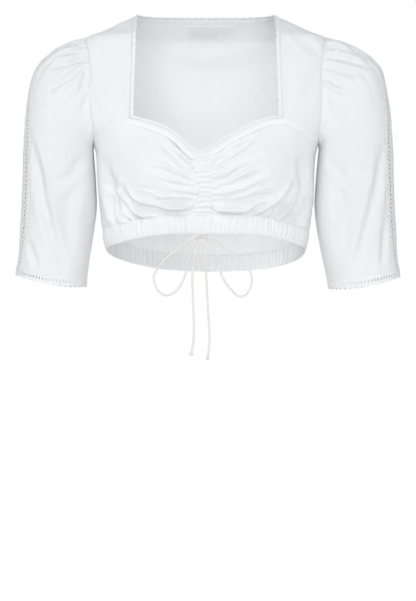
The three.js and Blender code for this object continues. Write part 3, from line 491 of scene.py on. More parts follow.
def lace_way(side, t):
    """The way across the sweetheart lace: upright at the centre, then square to the edge, and
    last along the mitre at the corner."""
    lace = sweetheart_column(side, t, "lace")
    step = 0.01
    from_x, from_z = sweetheart(side, np.clip(t - step, 0, 1))
    to_x, to_z = sweetheart(side, np.clip(t + step, 0, 1))
    long = np.hypot(to_x - from_x, to_z - from_z)
    bend = smooth(0, LACE_TURNS["upright"], t)
    corner = smooth(LACE_TURNS["mitre"], 1, t)
    x = mix(0, -side * lace * (to_z - from_z) / long, bend)
    z = mix(lace, side * lace * (to_x - from_x) / long, bend)
    return mix(x, -side * NECK["lace"], corner), mix(z, lace, corner)


def yoke_place(side, u, v):
    inner_turn, inner_z = neck_edge(side, v)
    degrees = BUST_SEAM_TURN * v
    outer_turn = side * (math.pi / 2 - armhole_cut(degrees, True))
    outer_z = armhole_level(degrees)
    corner_turn, corner_z = bust_seam(side, 0.0)
    tip_turn, tip_z = bust_seam(side, 1.0)
    seam_turn, seam_z = bust_seam(side, u)
    turn = mix(inner_turn, outer_turn, u) + v * (seam_turn - mix(corner_turn, tip_turn, u))
    z = mix(inner_z, outer_z, u) + v * (seam_z - mix(corner_z, tip_z, u))
    return turn, z


def bust_top(side, u):
    first = BUST_SHARES["sweetheart"]
    second = first + BUST_SHARES["seam"]
    rows = len(SWEETHEART[side]) - 1
    x, edge_z = sweetheart(side, mix(1 / rows, 1, np.clip(u / first, 0, 1)))
    seam_turn, seam_z = bust_seam(side, np.clip((u - first) / BUST_SHARES["seam"], 0, 1))
    degrees = mix(BUST_SEAM_TURN, 180, np.clip((u - second) / BUST_SHARES["underarm"], 0, 1))
    arm_turn = side * (math.pi / 2 - armhole_cut(degrees, True))
    turn = np.where(u <= first, turn_at(x, edge_z), np.where(u <= second, seam_turn, arm_turn))
    z = np.where(u <= first, edge_z, np.where(u <= second, seam_z, armhole_level(degrees)))
    return turn, z


def bust_place(side, u, v):
    """The bust front's turn and level: u runs from the tunnel to the side, v from edge to hem."""
    column = "left" if side < 0 else "right"
    top_turn, top_z = bust_top(side, u)
    first_turn, first_z = bust_top(side, np.array(0.0))
    low_z = hem_top(0.0)
    last_turn = turn_at(curve(TUNNEL_LEVELS, "z", column, low_z), low_z)
    start_z = mix(first_z, low_z, v)
    start = turn_at(curve(TUNNEL_LEVELS, "z", column, start_z), start_z)
    bottom_turn = mix(last_turn, side * math.pi / 2, u)
    shift = (1 - u) * (start - mix(first_turn, last_turn, v))
    return mix(top_turn, bottom_turn, v) + shift, mix(top_z, hem_top(bottom_turn), v)


def back_side(side, v):
    """How far the armhole cuts in beside a level of the back, and how far it shifts that level."""
    low = hem_top(side * math.pi / 2)
    degrees = 180 * np.minimum(v / UNDERARM_SHARE, 1)
    down = np.clip((v - UNDERARM_SHARE) / (1 - UNDERARM_SHARE), 0, 1)
    edge = np.where(v < UNDERARM_SHARE, armhole_level(degrees), mix(ARMHOLE["bottom"], low, down))
    cut = np.where(v < UNDERARM_SHARE, armhole_cut(degrees, False), 0)
    return cut, edge - mix(ARMHOLE["top"], low, v)


def back_place(u, v):
    """The back's turn from the middle of the back, and its level."""
    from_end = np.minimum(u, 1 - u)
    sign = np.where(u < 0.5, -1, 1)
    on_shoulder = from_end < SHOULDER_SHARE
    across = (u - 0.5) / (0.5 - SHOULDER_SHARE)
    top_turn = np.where(on_shoulder, sign * math.pi / 2, across * math.pi / 2)
    top_z = mix(ARMHOLE["top"], NECK["top_z"], np.minimum(from_end / SHOULDER_SHARE, 1))
    bottom_turn = mix(-math.pi / 2, math.pi / 2, u)
    bottom_z = hem_top(from_front(bottom_turn))
    left_cut, left_shift = back_side(-1, v)
    right_cut, right_shift = back_side(1, v)
    turn = mix(top_turn, bottom_turn, v) + mix(left_cut, -right_cut, u)
    return turn, mix(top_z, bottom_z, v) + mix(left_shift, right_shift, u)


def sleeve_ellipse(side, s, turn):
    def value(column):
        return curve(SLEEVE_SECTIONS, "s", column, s)
    swing = np.cos(turn)
    out_x = value("out_left" if side < 0 else "out_right")
    in_x = value("in_left" if side < 0 else "in_right")
    x = (out_x + in_x) / 2 + (out_x - in_x) / 2 * swing
    z = (value("out_z") + value("in_z")) / 2 + (value("out_z") - value("in_z")) / 2 * swing
    return np.stack(np.broadcast_arrays(side * x, -value("depth") * np.sin(turn), z), -1)


def sleeve_start(side, turn):
    degrees = np.degrees(np.abs(turn))
    front = turn > 0
    ahead = math.pi / 2 - armhole_cut(degrees, front)
    return body_point(side * np.where(front, ahead, math.pi - ahead), armhole_level(degrees))


def sleeve_point(side, s, turn):
    settle = np.maximum(0, 1 - s / HEAD_SETTLED)
    shift = sleeve_start(side, turn) - sleeve_ellipse(side, np.zeros_like(s), turn)
    point = sleeve_ellipse(side, s, turn) + shift * (settle ** 2)[..., None]
    low = CUFF["dip"] * (1 - np.cos(2 * turn)) / 2 + (0 if side < 0 else CUFF["dip_right"])
    point[..., 2] -= low * np.clip((s - CUFF["dip_from"]) / (1 - CUFF["dip_from"]), 0, 1) ** 2
    return point


def sleeve_normal(side, s, turn):
    step = 0.02
    slip = 0.004
    around = sleeve_point(side, s, turn + step) - sleeve_point(side, s, turn - step)
    down = (sleeve_point(side, np.clip(s + slip, 0, 1), turn)
            - sleeve_point(side, np.clip(s - slip, 0, 1), turn))
    return unit(np.cross(around, down) * side)


def sleeve_form(side, s, turn):
    return sleeve_point(side, s, turn), sleeve_normal(side, s, turn)


def insertion_turn(s):
    return np.radians(curve(INSERTION_TURNS, "s", "turn", s))


def insertion_half(side, s, width):
    middle = insertion_turn(s)
    step = 0.02
    chord = sleeve_point(side, s, middle + step) - sleeve_point(side, s, middle - step)
    return width * 2 * step / np.linalg.norm(chord, axis=-1)


# Folds, creases and unevenness

def rounded_line(points, steps=5):
    """The given points joined by a smooth line."""
    rows = [dict(place=k, x=p[0], z=p[1]) for k, p in enumerate(points)]
    at = np.linspace(0, len(points) - 1, (len(points) - 1) * steps + 1)
    return np.stack([curve(rows, "place", "x", at), curve(rows, "place", "z", at)], -1)


def fold_relief(folds, x, z):
    total = np.zeros_like(x)
    for fold in folds:
        line = rounded_line(fold["line"])
        nearest = np.full_like(x, np.inf)
        along = np.zeros_like(x)
        hand = np.ones_like(x)
        count = len(line) - 1
        for k in range(count):
            ax, az = line[k]
            dx, dz = line[k + 1] - line[k]
            t = np.clip(((x - ax) * dx + (z - az) * dz) / (dx * dx + dz * dz), 0, 1)
            away = np.hypot(x - ax - t * dx, z - az - t * dz)
            closer = away < nearest
            nearest = np.where(closer, away, nearest)
            along = np.where(closer, (k + t) / count, along)
            hand = np.where(closer, np.sign(dx * (z - az) - dz * (x - ax)), hand)
        q = nearest / fold["width"]
        taper = 1 - np.abs(2 * along - 1) ** 3
        trough = np.exp(-q ** 2)
        away = (q - RIDGE["away"]) / RIDGE["width"]
        ridge = RIDGE["share"] * (1 + hand * fold["lean"]) * np.exp(-away ** 2)
        total -= fold["depth"] * mix(FOLD_END, 1, taper) * (trough - ridge)
    return total


def scattered(regions, seed):
    """Small creases as fold rows, placed by chance from a seed."""
    rng = np.random.default_rng(seed)
    creases = []
    for region in regions:
        for _ in range(region["count"]):
            x, z = rng.uniform(*region["x"]), rng.uniform(*region["z"])
            angle = math.radians(rng.normal(region["angle"], region["spread"]))
            reach = rng.uniform(*region["length"]) / 2
            bend = rng.uniform(-0.2, 0.2) * reach
            dx, dz = math.cos(angle), math.sin(angle)
            line = [(x - dx * reach, z - dz * reach), (x - dz * bend, z + dx * bend),
                    (x + dx * reach, z + dz * reach)]
            creases.append(dict(line=line, width=rng.uniform(1.5, 2.6), depth=rng.uniform(*region["depth"]),
                                lean=rng.uniform(-0.6, 0.6)))
    return creases


def unevenness(x, z, size, seed):
    """Soft waves in all directions, about that many millimetres long, between -1 and 1."""
    rng = np.random.default_rng(seed)
    total = np.zeros_like(x)
    waves = 9
    for _ in range(waves):
        angle = rng.uniform(0, 2 * math.pi)
        length = size * rng.uniform(0.7, 1.5)
        phase = rng.uniform(0, 2 * math.pi)
        total += np.cos(2 * math.pi * (x * math.cos(angle) + z * math.sin(angle)) / length + phase)
    return total / waves * 1.8


def soft_waves(name, x, z):
    return sum(wave["high"] * unevenness(x, z, wave["length"], wave["seed"]) for wave in WAVES[name])


def pleat_wave(share, pleats, seed):
    """Uneven pleats along a gathered edge, between 0 and 1, sharper in the troughs."""
    rng = np.random.default_rng(seed)
    steps = rng.uniform(0.6, 1.4, pleats)
    edges = np.concatenate([[0], np.cumsum(steps)])
    edges /= edges[-1]
    heights = rng.uniform(0.45, 1, pleats)
    k = np.clip(np.searchsorted(edges, share, side="right") - 1, 0, pleats - 1)
    t = (share - edges[k]) / (edges[k + 1] - edges[k])
    return heights[k] * np.sin(math.pi * np.clip(t, 0, 1)) ** 0.8


# Meshes

# How far off the weave of a cloth's inner face lies from its outer one, in the flat
BACK_FACE = 500
LACE_BACK_FACE = 300


def add_object(name, data):
    thing = bpy.data.objects.new(name, data)
    bpy.context.scene.collection.objects.link(thing)
    return thing


def new_object(name, vertices, faces, uvs=None, smooth_angle=50):
    mesh = bpy.data.meshes.new(name)
    mesh.from_pydata((np.asarray(vertices) * MM).tolist(), [], faces)
    mesh.polygons.foreach_set("use_smooth", [True] * len(mesh.polygons))
    if uvs is not None:
        layer = mesh.uv_layers.new(name="cloth")
        corners = np.zeros(len(mesh.loops), dtype=np.int32)
        mesh.loops.foreach_get("vertex_index", corners)
        layer.data.foreach_set("uv", (np.asarray(uvs)[corners] * MM).ravel())
    mesh.update()
    if smooth_angle:
        mesh.set_sharp_from_angle(angle=math.radians(smooth_angle))
    return add_object(name, mesh)


def face_out(vertices, faces):
    """The faces, turned over where the closed form's volume comes out negative."""
    points = np.asarray(vertices)
    total = 0.0
    for face in faces:
        a = points[face[0]]
        for k in range(1, len(face) - 1):
            total += np.dot(a, np.cross(points[face[k]], points[face[k + 1]]))
    if total < 0:
        return [face[::-1] for face in faces]
    return faces


def grid(columns, rows):
    v, u = np.meshgrid(np.linspace(0, 1, rows + 1), np.linspace(0, 1, columns + 1), indexing="ij")
    return u, v


def cloth_shell(name, outer, normal, thickness):
    """A closed thin shell of cloth whose outer face is the grid of points."""
    rows, columns = outer.shape[0] - 1, outer.shape[1] - 1
    inner = outer - normal * np.broadcast_to(thickness, outer.shape[:2])[..., None]
    vertices = np.concatenate([outer.reshape(-1, 3), inner.reshape(-1, 3)])
    size = (rows + 1) * (columns + 1)
    index = np.arange(size).reshape(rows + 1, columns + 1)
    a, b = index[:-1, :-1].ravel(), index[:-1, 1:].ravel()
    c, d = index[1:, 1:].ravel(), index[1:, :-1].ravel()
    faces = np.stack([a, d, c, b], -1).tolist()
    faces += (np.stack([a, b, c, d], -1) + size).tolist()
    rim = np.concatenate([index[0, :], index[1:, -1], index[-1, -2::-1], index[-2:0:-1, 0]])
    after = np.roll(rim, -1)
    faces += np.stack([rim, after, after + size, rim + size], -1).tolist()
    middle = faces[: len(faces) // 2][len(a) // 2]
    p = vertices[middle]
    out = np.cross(p[1] - p[0], p[2] - p[0])
    if np.dot(out, normal.reshape(-1, 3)[middle[0]]) < 0:
        faces = [face[::-1] for face in faces]
    step_u = np.linalg.norm(np.diff(outer, axis=1), axis=-1).mean(axis=0)
    step_v = np.linalg.norm(np.diff(outer, axis=0), axis=-1).mean(axis=1)
    along = np.concatenate([[0], np.cumsum(step_u)])
    down = np.concatenate([[0], np.cumsum(step_v)])
    flat_v, flat_u = np.meshgrid(down, along, indexing="ij")
    flat = np.stack([flat_u.ravel(), flat_v.ravel()], -1)
    return new_object(name, vertices, faces, np.concatenate([flat, flat + BACK_FACE]))


def arc_places(points):
    """How far along a line of points each one is."""
    return np.concatenate([[0], np.cumsum(np.linalg.norm(np.diff(points, axis=0), axis=-1))])


# Finishes

def node_material(name, base, roughness, sheen, specular):
    material = bpy.data.materials.new(name)
    material.use_nodes = True
    shader = material.node_tree.nodes["Principled BSDF"]
    shader.inputs["Base Color"].default_value = (*base, 1)
    shader.inputs["Roughness"].default_value = roughness
    shader.inputs["Sheen Weight"].default_value = sheen
    shader.inputs["Sheen Roughness"].default_value = 0.5
    shader.inputs["Specular IOR Level"].default_value = specular
    return material, material.node_tree, shader


def stretched_noise(tree, coordinates, scale, detail):
    mapping = tree.nodes.new("ShaderNodeMapping")
    mapping.inputs["Scale"].default_value = scale
    tree.links.new(coordinates, mapping.inputs["Vector"])
    noise = tree.nodes.new("ShaderNodeTexNoise")
    noise.inputs["Scale"].default_value = 1.0
    noise.inputs["Detail"].default_value = detail
    tree.links.new(mapping.outputs["Vector"], noise.inputs["Vector"])
    return noise.outputs["Fac"]


def raise_surface(tree, shader, height, strength, distance):
    bump = tree.nodes.new("ShaderNodeBump")
    bump.inputs["Strength"].default_value = strength
    bump.inputs["Distance"].default_value = distance
    tree.links.new(height, bump.inputs["Height"])
    tree.links.new(bump.outputs["Normal"], shader.inputs["Normal"])


def math_node(tree, operation, first, second):
    node = tree.nodes.new("ShaderNodeMath")
    node.operation = operation
    for socket, value in zip(node.inputs, (first, second)):
        if isinstance(value, (int, float)):
            socket.default_value = value
        else:
            tree.links.new(value, socket)
    return node.outputs[0]


def weighted_sum(tree, first, first_weight, second, second_weight):
    return math_node(tree, "ADD", math_node(tree, "MULTIPLY", first, first_weight),
                     math_node(tree, "MULTIPLY", second, second_weight))


def thread_wave(tree, coordinates, direction, pitch):
    """Raised threads that run across one direction, at their real pitch in metres."""
    wave = tree.nodes.new("ShaderNodeTexWave")
    wave.wave_type = "BANDS"
    wave.bands_direction = direction
    wave.inputs["Scale"].default_value = math.pi / 10 / pitch
    wave.inputs["Distortion"].default_value = 1.2
    wave.inputs["Detail"].default_value = 1.0
    wave.inputs["Detail Scale"].default_value = 0.02
    tree.links.new(coordinates, wave.inputs["Vector"])
    return wave.outputs["Fac"]


# Scales of the noise, per metre: threads thicker one way, the other way, and the cloth's white
SLUB_ACROSS = (60, 900, 1)
SLUB_DOWN = (900, 60, 1)
CLOUDS = (14, 14, 1)


def woven(name, base, shade, pitch, thread_height, slub_height, roughness=0.92, sheen=0.12, specular=0.18,
          through=0.5, spread=0.0012):
    """Plain-woven cloth: crossing threads, thicker uneven slubs, and a slight change of white.

    through is how much light passes into the cloth, and spread how far it travels there."""
    material, tree, shader = node_material(name, base, roughness, sheen, specular)
    shader.inputs["Subsurface Weight"].default_value = through
    shader.inputs["Subsurface Radius"].default_value = (1, 1, 1)
    shader.inputs["Subsurface Scale"].default_value = spread
    place = tree.nodes.new("ShaderNodeUVMap")
    place.uv_map = "cloth"
    flat = place.outputs["UV"]
    weft, warp = (thread_wave(tree, flat, direction, pitch) for direction in "XY")
    threads = math_node(tree, "MAXIMUM", weft, warp)
    slubs = math_node(tree, "ADD", stretched_noise(tree, flat, SLUB_ACROSS, 3),
                      stretched_noise(tree, flat, SLUB_DOWN, 3))
    raise_surface(tree, shader, weighted_sum(tree, threads, thread_height, slubs, slub_height), 0.55, 1.0)
    tone = weighted_sum(tree, slubs, 0.5, stretched_noise(tree, flat, CLOUDS, 2), 0.5)
    ramp = tree.nodes.new("ShaderNodeValToRGB")
    for element, position, colour in zip(ramp.color_ramp.elements, (0.45, 1.0), (shade, base)):
        element.position = position
        element.color = (*colour, 1)
    tree.links.new(tone, ramp.inputs["Fac"])
    tree.links.new(ramp.outputs["Color"], shader.inputs["Base Color"])
    return material


WHITE = (0.915, 0.915, 0.928)
WHITE_SHADE = (0.859, 0.862, 0.882)
LINEN = woven("linen_cloth", WHITE, WHITE_SHADE, 0.0007, 0.00008, 0.00012)
BACK_LINEN = woven("linen_back", WHITE, WHITE_SHADE, 0.0007, 0.00008, 0.00012, through=1.0, spread=0.003)
FOLDED_LINEN = woven("folded_linen", (0.955, 0.955, 0.96), (0.9, 0.9, 0.91), 0.0007, 0.00008, 0.0001,
                     through=0.1)
LACE_COTTON = woven("lace_cotton", (0.93, 0.93, 0.94), (0.86, 0.865, 0.88), 0.0005, 0.0001, 0.00008,
                    roughness=0.85, sheen=0.15, through=0.15)
CORD_COTTON = woven("cord_cotton", (0.86, 0.85, 0.835), (0.78, 0.765, 0.745), 0.0006, 0.0001, 0.00005,
                    roughness=0.8, sheen=0.2, through=0.0)
TAPE = woven("label_tape", (0.985, 0.985, 0.99), (0.94, 0.945, 0.955), 0.0004, 0.00004, 0.00002,
             roughness=0.55, sheen=0.1, specular=0.35)
THREAD = woven("sewing_thread", (0.93, 0.93, 0.94), (0.84, 0.85, 0.87), 0.0003, 0.00004, 0.00001,
               roughness=0.6, sheen=0.1, specular=0.3)


def finish_piece(piece, material, nodes):
    piece.data.materials.append(material)
    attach(piece, BODY)
    if nodes:
        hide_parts(*nodes)
    return piece


# Cloth panels

def seam_pinch(distance, depth):
    """A seam draws the cloth in a little beside it."""
    return -depth * np.exp(-(distance / SEAM_REACH) ** 2)


def seam_pinches(edges, **depths):
    return sum(seam_pinch(edges[edge], depth) for edge, depth in depths.items())


def cloth_piece(name, form, relief, node, thickness=SHELL, material=LINEN):
    base, normal = form
    piece = cloth_shell(name, base + normal * relief[..., None], normal, thickness)
    return finish_piece(piece, material, [node] if node else [])


def edge_distance(base):
    """How far each point of a grid is from each of its four edges, in millimetres."""
    across = np.linalg.norm(np.diff(base, axis=1), axis=-1)
    down = np.linalg.norm(np.diff(base, axis=0), axis=-1)
    zero_column = np.zeros((base.shape[0], 1))
    zero_row = np.zeros((1, base.shape[1]))
    left = np.concatenate([zero_column, np.cumsum(across, axis=1)], axis=1)
    top = np.concatenate([zero_row, np.cumsum(down, axis=0)], axis=0)
    return dict(left=left, right=left[:, -1:] - left, top=top, bottom=top[-1:, :] - top)


def hem_gathers(turn, above, face):
    """The pleats of the elastic hem run up into the cloth above it and die out."""
    share = (turn + math.pi / 2) / math.pi
    pleats = HEM_PLEATS[face]
    seed = HEM_SEEDS[face]
    wave = pleat_wave(share, pleats, seed)
    reach = RUN_UP["least"] + RUN_UP["more"] * pleat_wave(share, pleats // 3, seed + 5)
    return RUN_UP["high"] * (wave - RUN_UP["level"]) * np.exp(-(above / reach) ** 1.5)


def make_yoke(side, label):
    u, v = grid(*GRIDS["yoke"])
    base, normal = body_form(*yoke_place(side, u, v))
    x, z = base[..., 0], base[..., 2]
    edges = edge_distance(base)
    relief = fold_relief(YOKE_FOLDS + scattered(YOKE_CREASES, CREASE_SEEDS["yoke"]), x, z)
    relief += soft_waves("yoke", x, z)
    relief *= smooth(0, 10, np.minimum(edges["left"], edges["right"]))
    relief += seam_pinches(edges, bottom=0.3, right=0.25, top=0.3)
    return cloth_piece(f"yoke_cloth_{label}", (base, normal), relief, f"yoke_{label}")


def folded_band(side, u, down):
    """How much of the bust's folded band is at each place, and how much it belongs to that edge."""
    first = BUST_SHARES["sweetheart"]
    last = first + BUST_SHARES["seam"]
    faint = BAND["faint"] if side < 0 else BAND["clear"]
    on_edge = mix(mix(1, faint, smooth(first - 0.02, first + 0.02, u)), 0, smooth(last - 0.06, last, u))
    return (1 - smooth(BAND["width"] - 0.5, BAND["width"] + 0.5, down)) * on_edge, on_edge


def make_bust(side, label):
    u, v = grid(*GRIDS["bust"])
    turn, z = bust_place(side, u, v)
    form = body_form(turn, z)
    x = form[0][..., 0]
    edges = edge_distance(form[0])
    relief = FOLD_STRENGTH * fold_relief(FRONT_FOLDS + FRONT_ROLLS, x, z)
    relief += fold_relief(scattered(FRONT_CREASES, CREASE_SEEDS["front"]), x, z)
    relief += soft_waves("bust", x, z)
    near_tunnel = np.exp(-edges["left"] / TUNNEL_RUCHES["reach"])
    ruches = np.sin(2 * math.pi * z / TUNNEL_RUCHES["pitch"] + 1.3 * unevenness(x, z, 26, 6))
    relief += TUNNEL_RUCHES["high"] * near_tunnel * ruches
    relief *= smooth(0, 8, edges["top"])
    relief += hem_gathers(turn, edges["bottom"], "front")
    lap = np.exp(-((edges["bottom"] - HEM_LAP["above"]) / HEM_LAP["reach"]) ** 2)
    relief += HEM_LAP["high"] * lap * (1 + 0.5 * unevenness(x, z, 34, 12))
    band, on_edge = folded_band(side, u, edges["top"])
    relief += BAND["rise"] * band
    relief -= BAND["groove"] * np.exp(-((edges["top"] - BAND["width"] - 0.7) / 0.9) ** 2) * on_edge
    first = BUST_SHARES["sweetheart"]
    relief += seam_pinch(edges["top"], 0.35) * smooth(first, first + 0.02, u)
    relief += seam_pinch(edges["bottom"], 0.3)
    return cloth_piece(f"bust_cloth_{label}", form, relief, f"bust_{label}", SHELL + BAND["rise"] * band)


def make_edging(side, label):
    """The folded strip along the bust's top edge, laid over the cloth."""
    reach = BUST_SHARES["sweetheart"] + (0.0 if side < 0 else 0.9 * BUST_SHARES["seam"])
    u, v = grid(*GRIDS["edging"])
    u = u * reach
    top_z = bust_top(side, u)[1]
    column = (top_z - hem_top(side * math.pi / 2 * u)) * 1.02
    narrow = 1 - 0.55 * smooth(BUST_SHARES["sweetheart"], reach + 0.01, u)
    form = body_form(*bust_place(side, u, v * BAND["width"] * narrow / column))
    end = smooth(0, 0.03, reach - u)
    relief = BAND["rise"] + 0.15 + 0.55 * np.sin(math.pi * v) ** 0.6 * end
    relief += 0.12 * unevenness(form[0][..., 0], form[0][..., 2], 12, 36)
    return cloth_piece(f"edging_{label}", form, relief, None, EDGING_SHELL, FOLDED_LINEN)


def make_tunnel():
    u, v = grid(*GRIDS["tunnel"])
    z = mix(SWEETHEART[-1][0]["z"], hem_top(0.0), v)
    left, right = (curve(TUNNEL_LEVELS, "z", column, z) for column in ("left", "right"))
    form = body_form(turn_at(mix(left, right, u), z), z)
    x = form[0][..., 0]
    arch = np.sin(math.pi * u)
    sway = 1.6 * unevenness(x, z, 24, 7)
    ruches = np.sin(2 * math.pi * (v * TUNNEL["ruches"] + 0.12 * sway + 0.22 * arch)) * (0.35 + 0.65 * arch)
    relief = TUNNEL["depth"] * ruches + TUNNEL["arch"] * arch + soft_waves("tunnel", x, z)
    low = smooth(-246, -252, z) * (1 - smooth(-262, -267, z))
    relief += TUNNEL["pouch"] * low * arch
    across, up = np.minimum(u, 1 - u) / 0.12, (z - TUNNEL["pinch_z"]) / 2.5
    relief -= TUNNEL["pinch"] * np.exp(-across ** 2 - up ** 2)
    return cloth_piece("tunnel_cloth", form, relief, "centre_tunnel")


def make_back():
    u, v = grid(*GRIDS["back"])
    turn, z = back_place(u, v)
    form = body_form(math.pi - turn, z)
    x = form[0][..., 0]
    edges = edge_distance(form[0])
    relief = fold_relief(BACK_FOLDS + scattered(BACK_CREASES, CREASE_SEEDS["back"]), x, z)
    relief += soft_waves("back", x, z)
    relief *= smooth(0, 14, edges["top"]) * smooth(0, 8, np.minimum(edges["left"], edges["right"]))
    relief += hem_gathers(turn, edges["bottom"], "back")
    relief += seam_pinches(edges, bottom=0.6)
    relief += 0.4 * (1 - smooth(3.6, 4.6, edges["top"]))
    return cloth_piece("back_cloth", form, relief, "back", material=BACK_LINEN)


def hem_way(face, share):
    """Along the hem, left to right in front and the same behind: the body's turn, and the top's level."""
    swing = mix(-math.pi / 2, math.pi / 2, share)
    if face == "front":
        return swing, hem_top(swing)
    return math.pi - swing, hem_top(from_front(swing))


def hem_fullness(v):
    return 0.55 + 0.45 * np.sin(math.pi * v) ** 0.7


def make_hem(face):
    pleats = HEM_PLEATS[face]
    u, v = grid(pleats * HEM_CELLS["each_pleat"], HEM_CELLS["down"])
    turn, top = hem_way(face, u)
    drift = 0.004 * np.sin(5 * v + 19 * u)
    wave = pleat_wave(np.clip(u + drift * v, 0, 1), pleats, HEM_SEEDS[face])
    relief = HEM["proud"] * smooth(0, 0.1, v) + hem_fullness(v) * HEM["depth"] * wave
    relief += 0.5 * np.sin(math.pi * v) - 0.3 * (1 - smooth(0, 0.12, v))
    form = body_form(turn, top - v * HEM["height"])
    return cloth_piece(f"hem_cloth_{face}", form, relief, f"hem_band_{face}")


def down_sleeve(v):
    return CUFF["lace_start"] * mix(v, v * v, 0.3)


def sleeve_relief(side, base, s, turn, face):
    degrees = np.degrees(np.abs(turn))
    folds = SLEEVE_FRONT_FOLDS if face == "front" else SLEEVE_BACK_FOLDS
    creases = scattered(SLEEVE_CREASES, CREASE_SEEDS[f"sleeve_{face}"])
    x, z = base[..., 0], base[..., 2]
    under = np.clip((180 - degrees) / 20, 0, 1)
    relief = FOLD_STRENGTH * fold_relief(folds, x, z) + fold_relief(creases, x, z)
    relief *= np.minimum(1, 12 * s + 0.35) * under
    on_top = np.clip(1.4 - degrees / HEAD_GATHERS["spread"], 0, 1)
    gathered = np.exp(-(s / HEAD_GATHERS["reach"]) ** 2) * on_top
    uneven = degrees + 2.2 * np.sin(degrees * 0.21 + side) + 1.5 * unevenness(x, z, 40, 21)
    swing = np.sin(2 * math.pi * HEAD_GATHERS["count"] * uneven / HEAD_GATHERS["spread"])
    relief += HEAD_GATHERS["depth"] * gathered * np.minimum(1, 0.4 + 12 * s) * swing
    fine = np.exp(-(s / FINE_GATHERS["reach"]) ** 2) * on_top
    swing = np.sin(2 * math.pi * degrees / FINE_GATHERS["pitch"] + unevenness(x, z, 30, 22))
    relief += FINE_GATHERS["depth"] * fine * swing
    return relief + soft_waves("sleeve", x, z) * under


def make_sleeve_half(side, label, face):
    u, v = grid(*GRIDS["sleeve"])
    s = down_sleeve(v)
    half = insertion_half(side, s, SLEEVE_LACE_HALF)
    sign = 1 if face == "front" else -1
    turn = mix(insertion_turn(s) + sign * half, sign * math.pi, u)
    base, normal = sleeve_form(side, s, turn)
    relief = sleeve_relief(side, base, s, turn, face)
    edges = edge_distance(base)
    relief *= smooth(0, 5, edges["bottom"]) * 0.6 + 0.4
    relief *= smooth(0, 6, edges["left"]) * 0.7 + 0.3
    relief *= smooth(0, 3, edges["top"])
    relief += seam_pinches(edges, left=0.3, top=0.2)
    return cloth_piece(f"sleeve_cloth_{face}_{label}", (base, normal), relief, f"sleeve_{face}_{label}")


# Lace with real holes

def thicken(points, normals, faces, thickness):
    """Closes a sheet with holes into a thin solid, with a wall round each hole."""
    points = np.asarray(points)
    normals = np.asarray(normals)
    size = len(points)
    vertices = np.concatenate([points, points - normals * thickness])
    seen = dict.fromkeys(edge for face in faces for edge in zip(face, face[1:] + face[:1]))
    walls = [[b, a, a + size, b + size] for (a, b) in seen if (b, a) not in seen]
    under = [[k + size for k in face[::-1]] for face in faces]
    return vertices, faces + under + walls


# A pitch of lace has this many columns of cells, and each hole a raised rim
QUARTERS = 4
RIM = dict(width=0.38, top=0.3, inside=0.1)


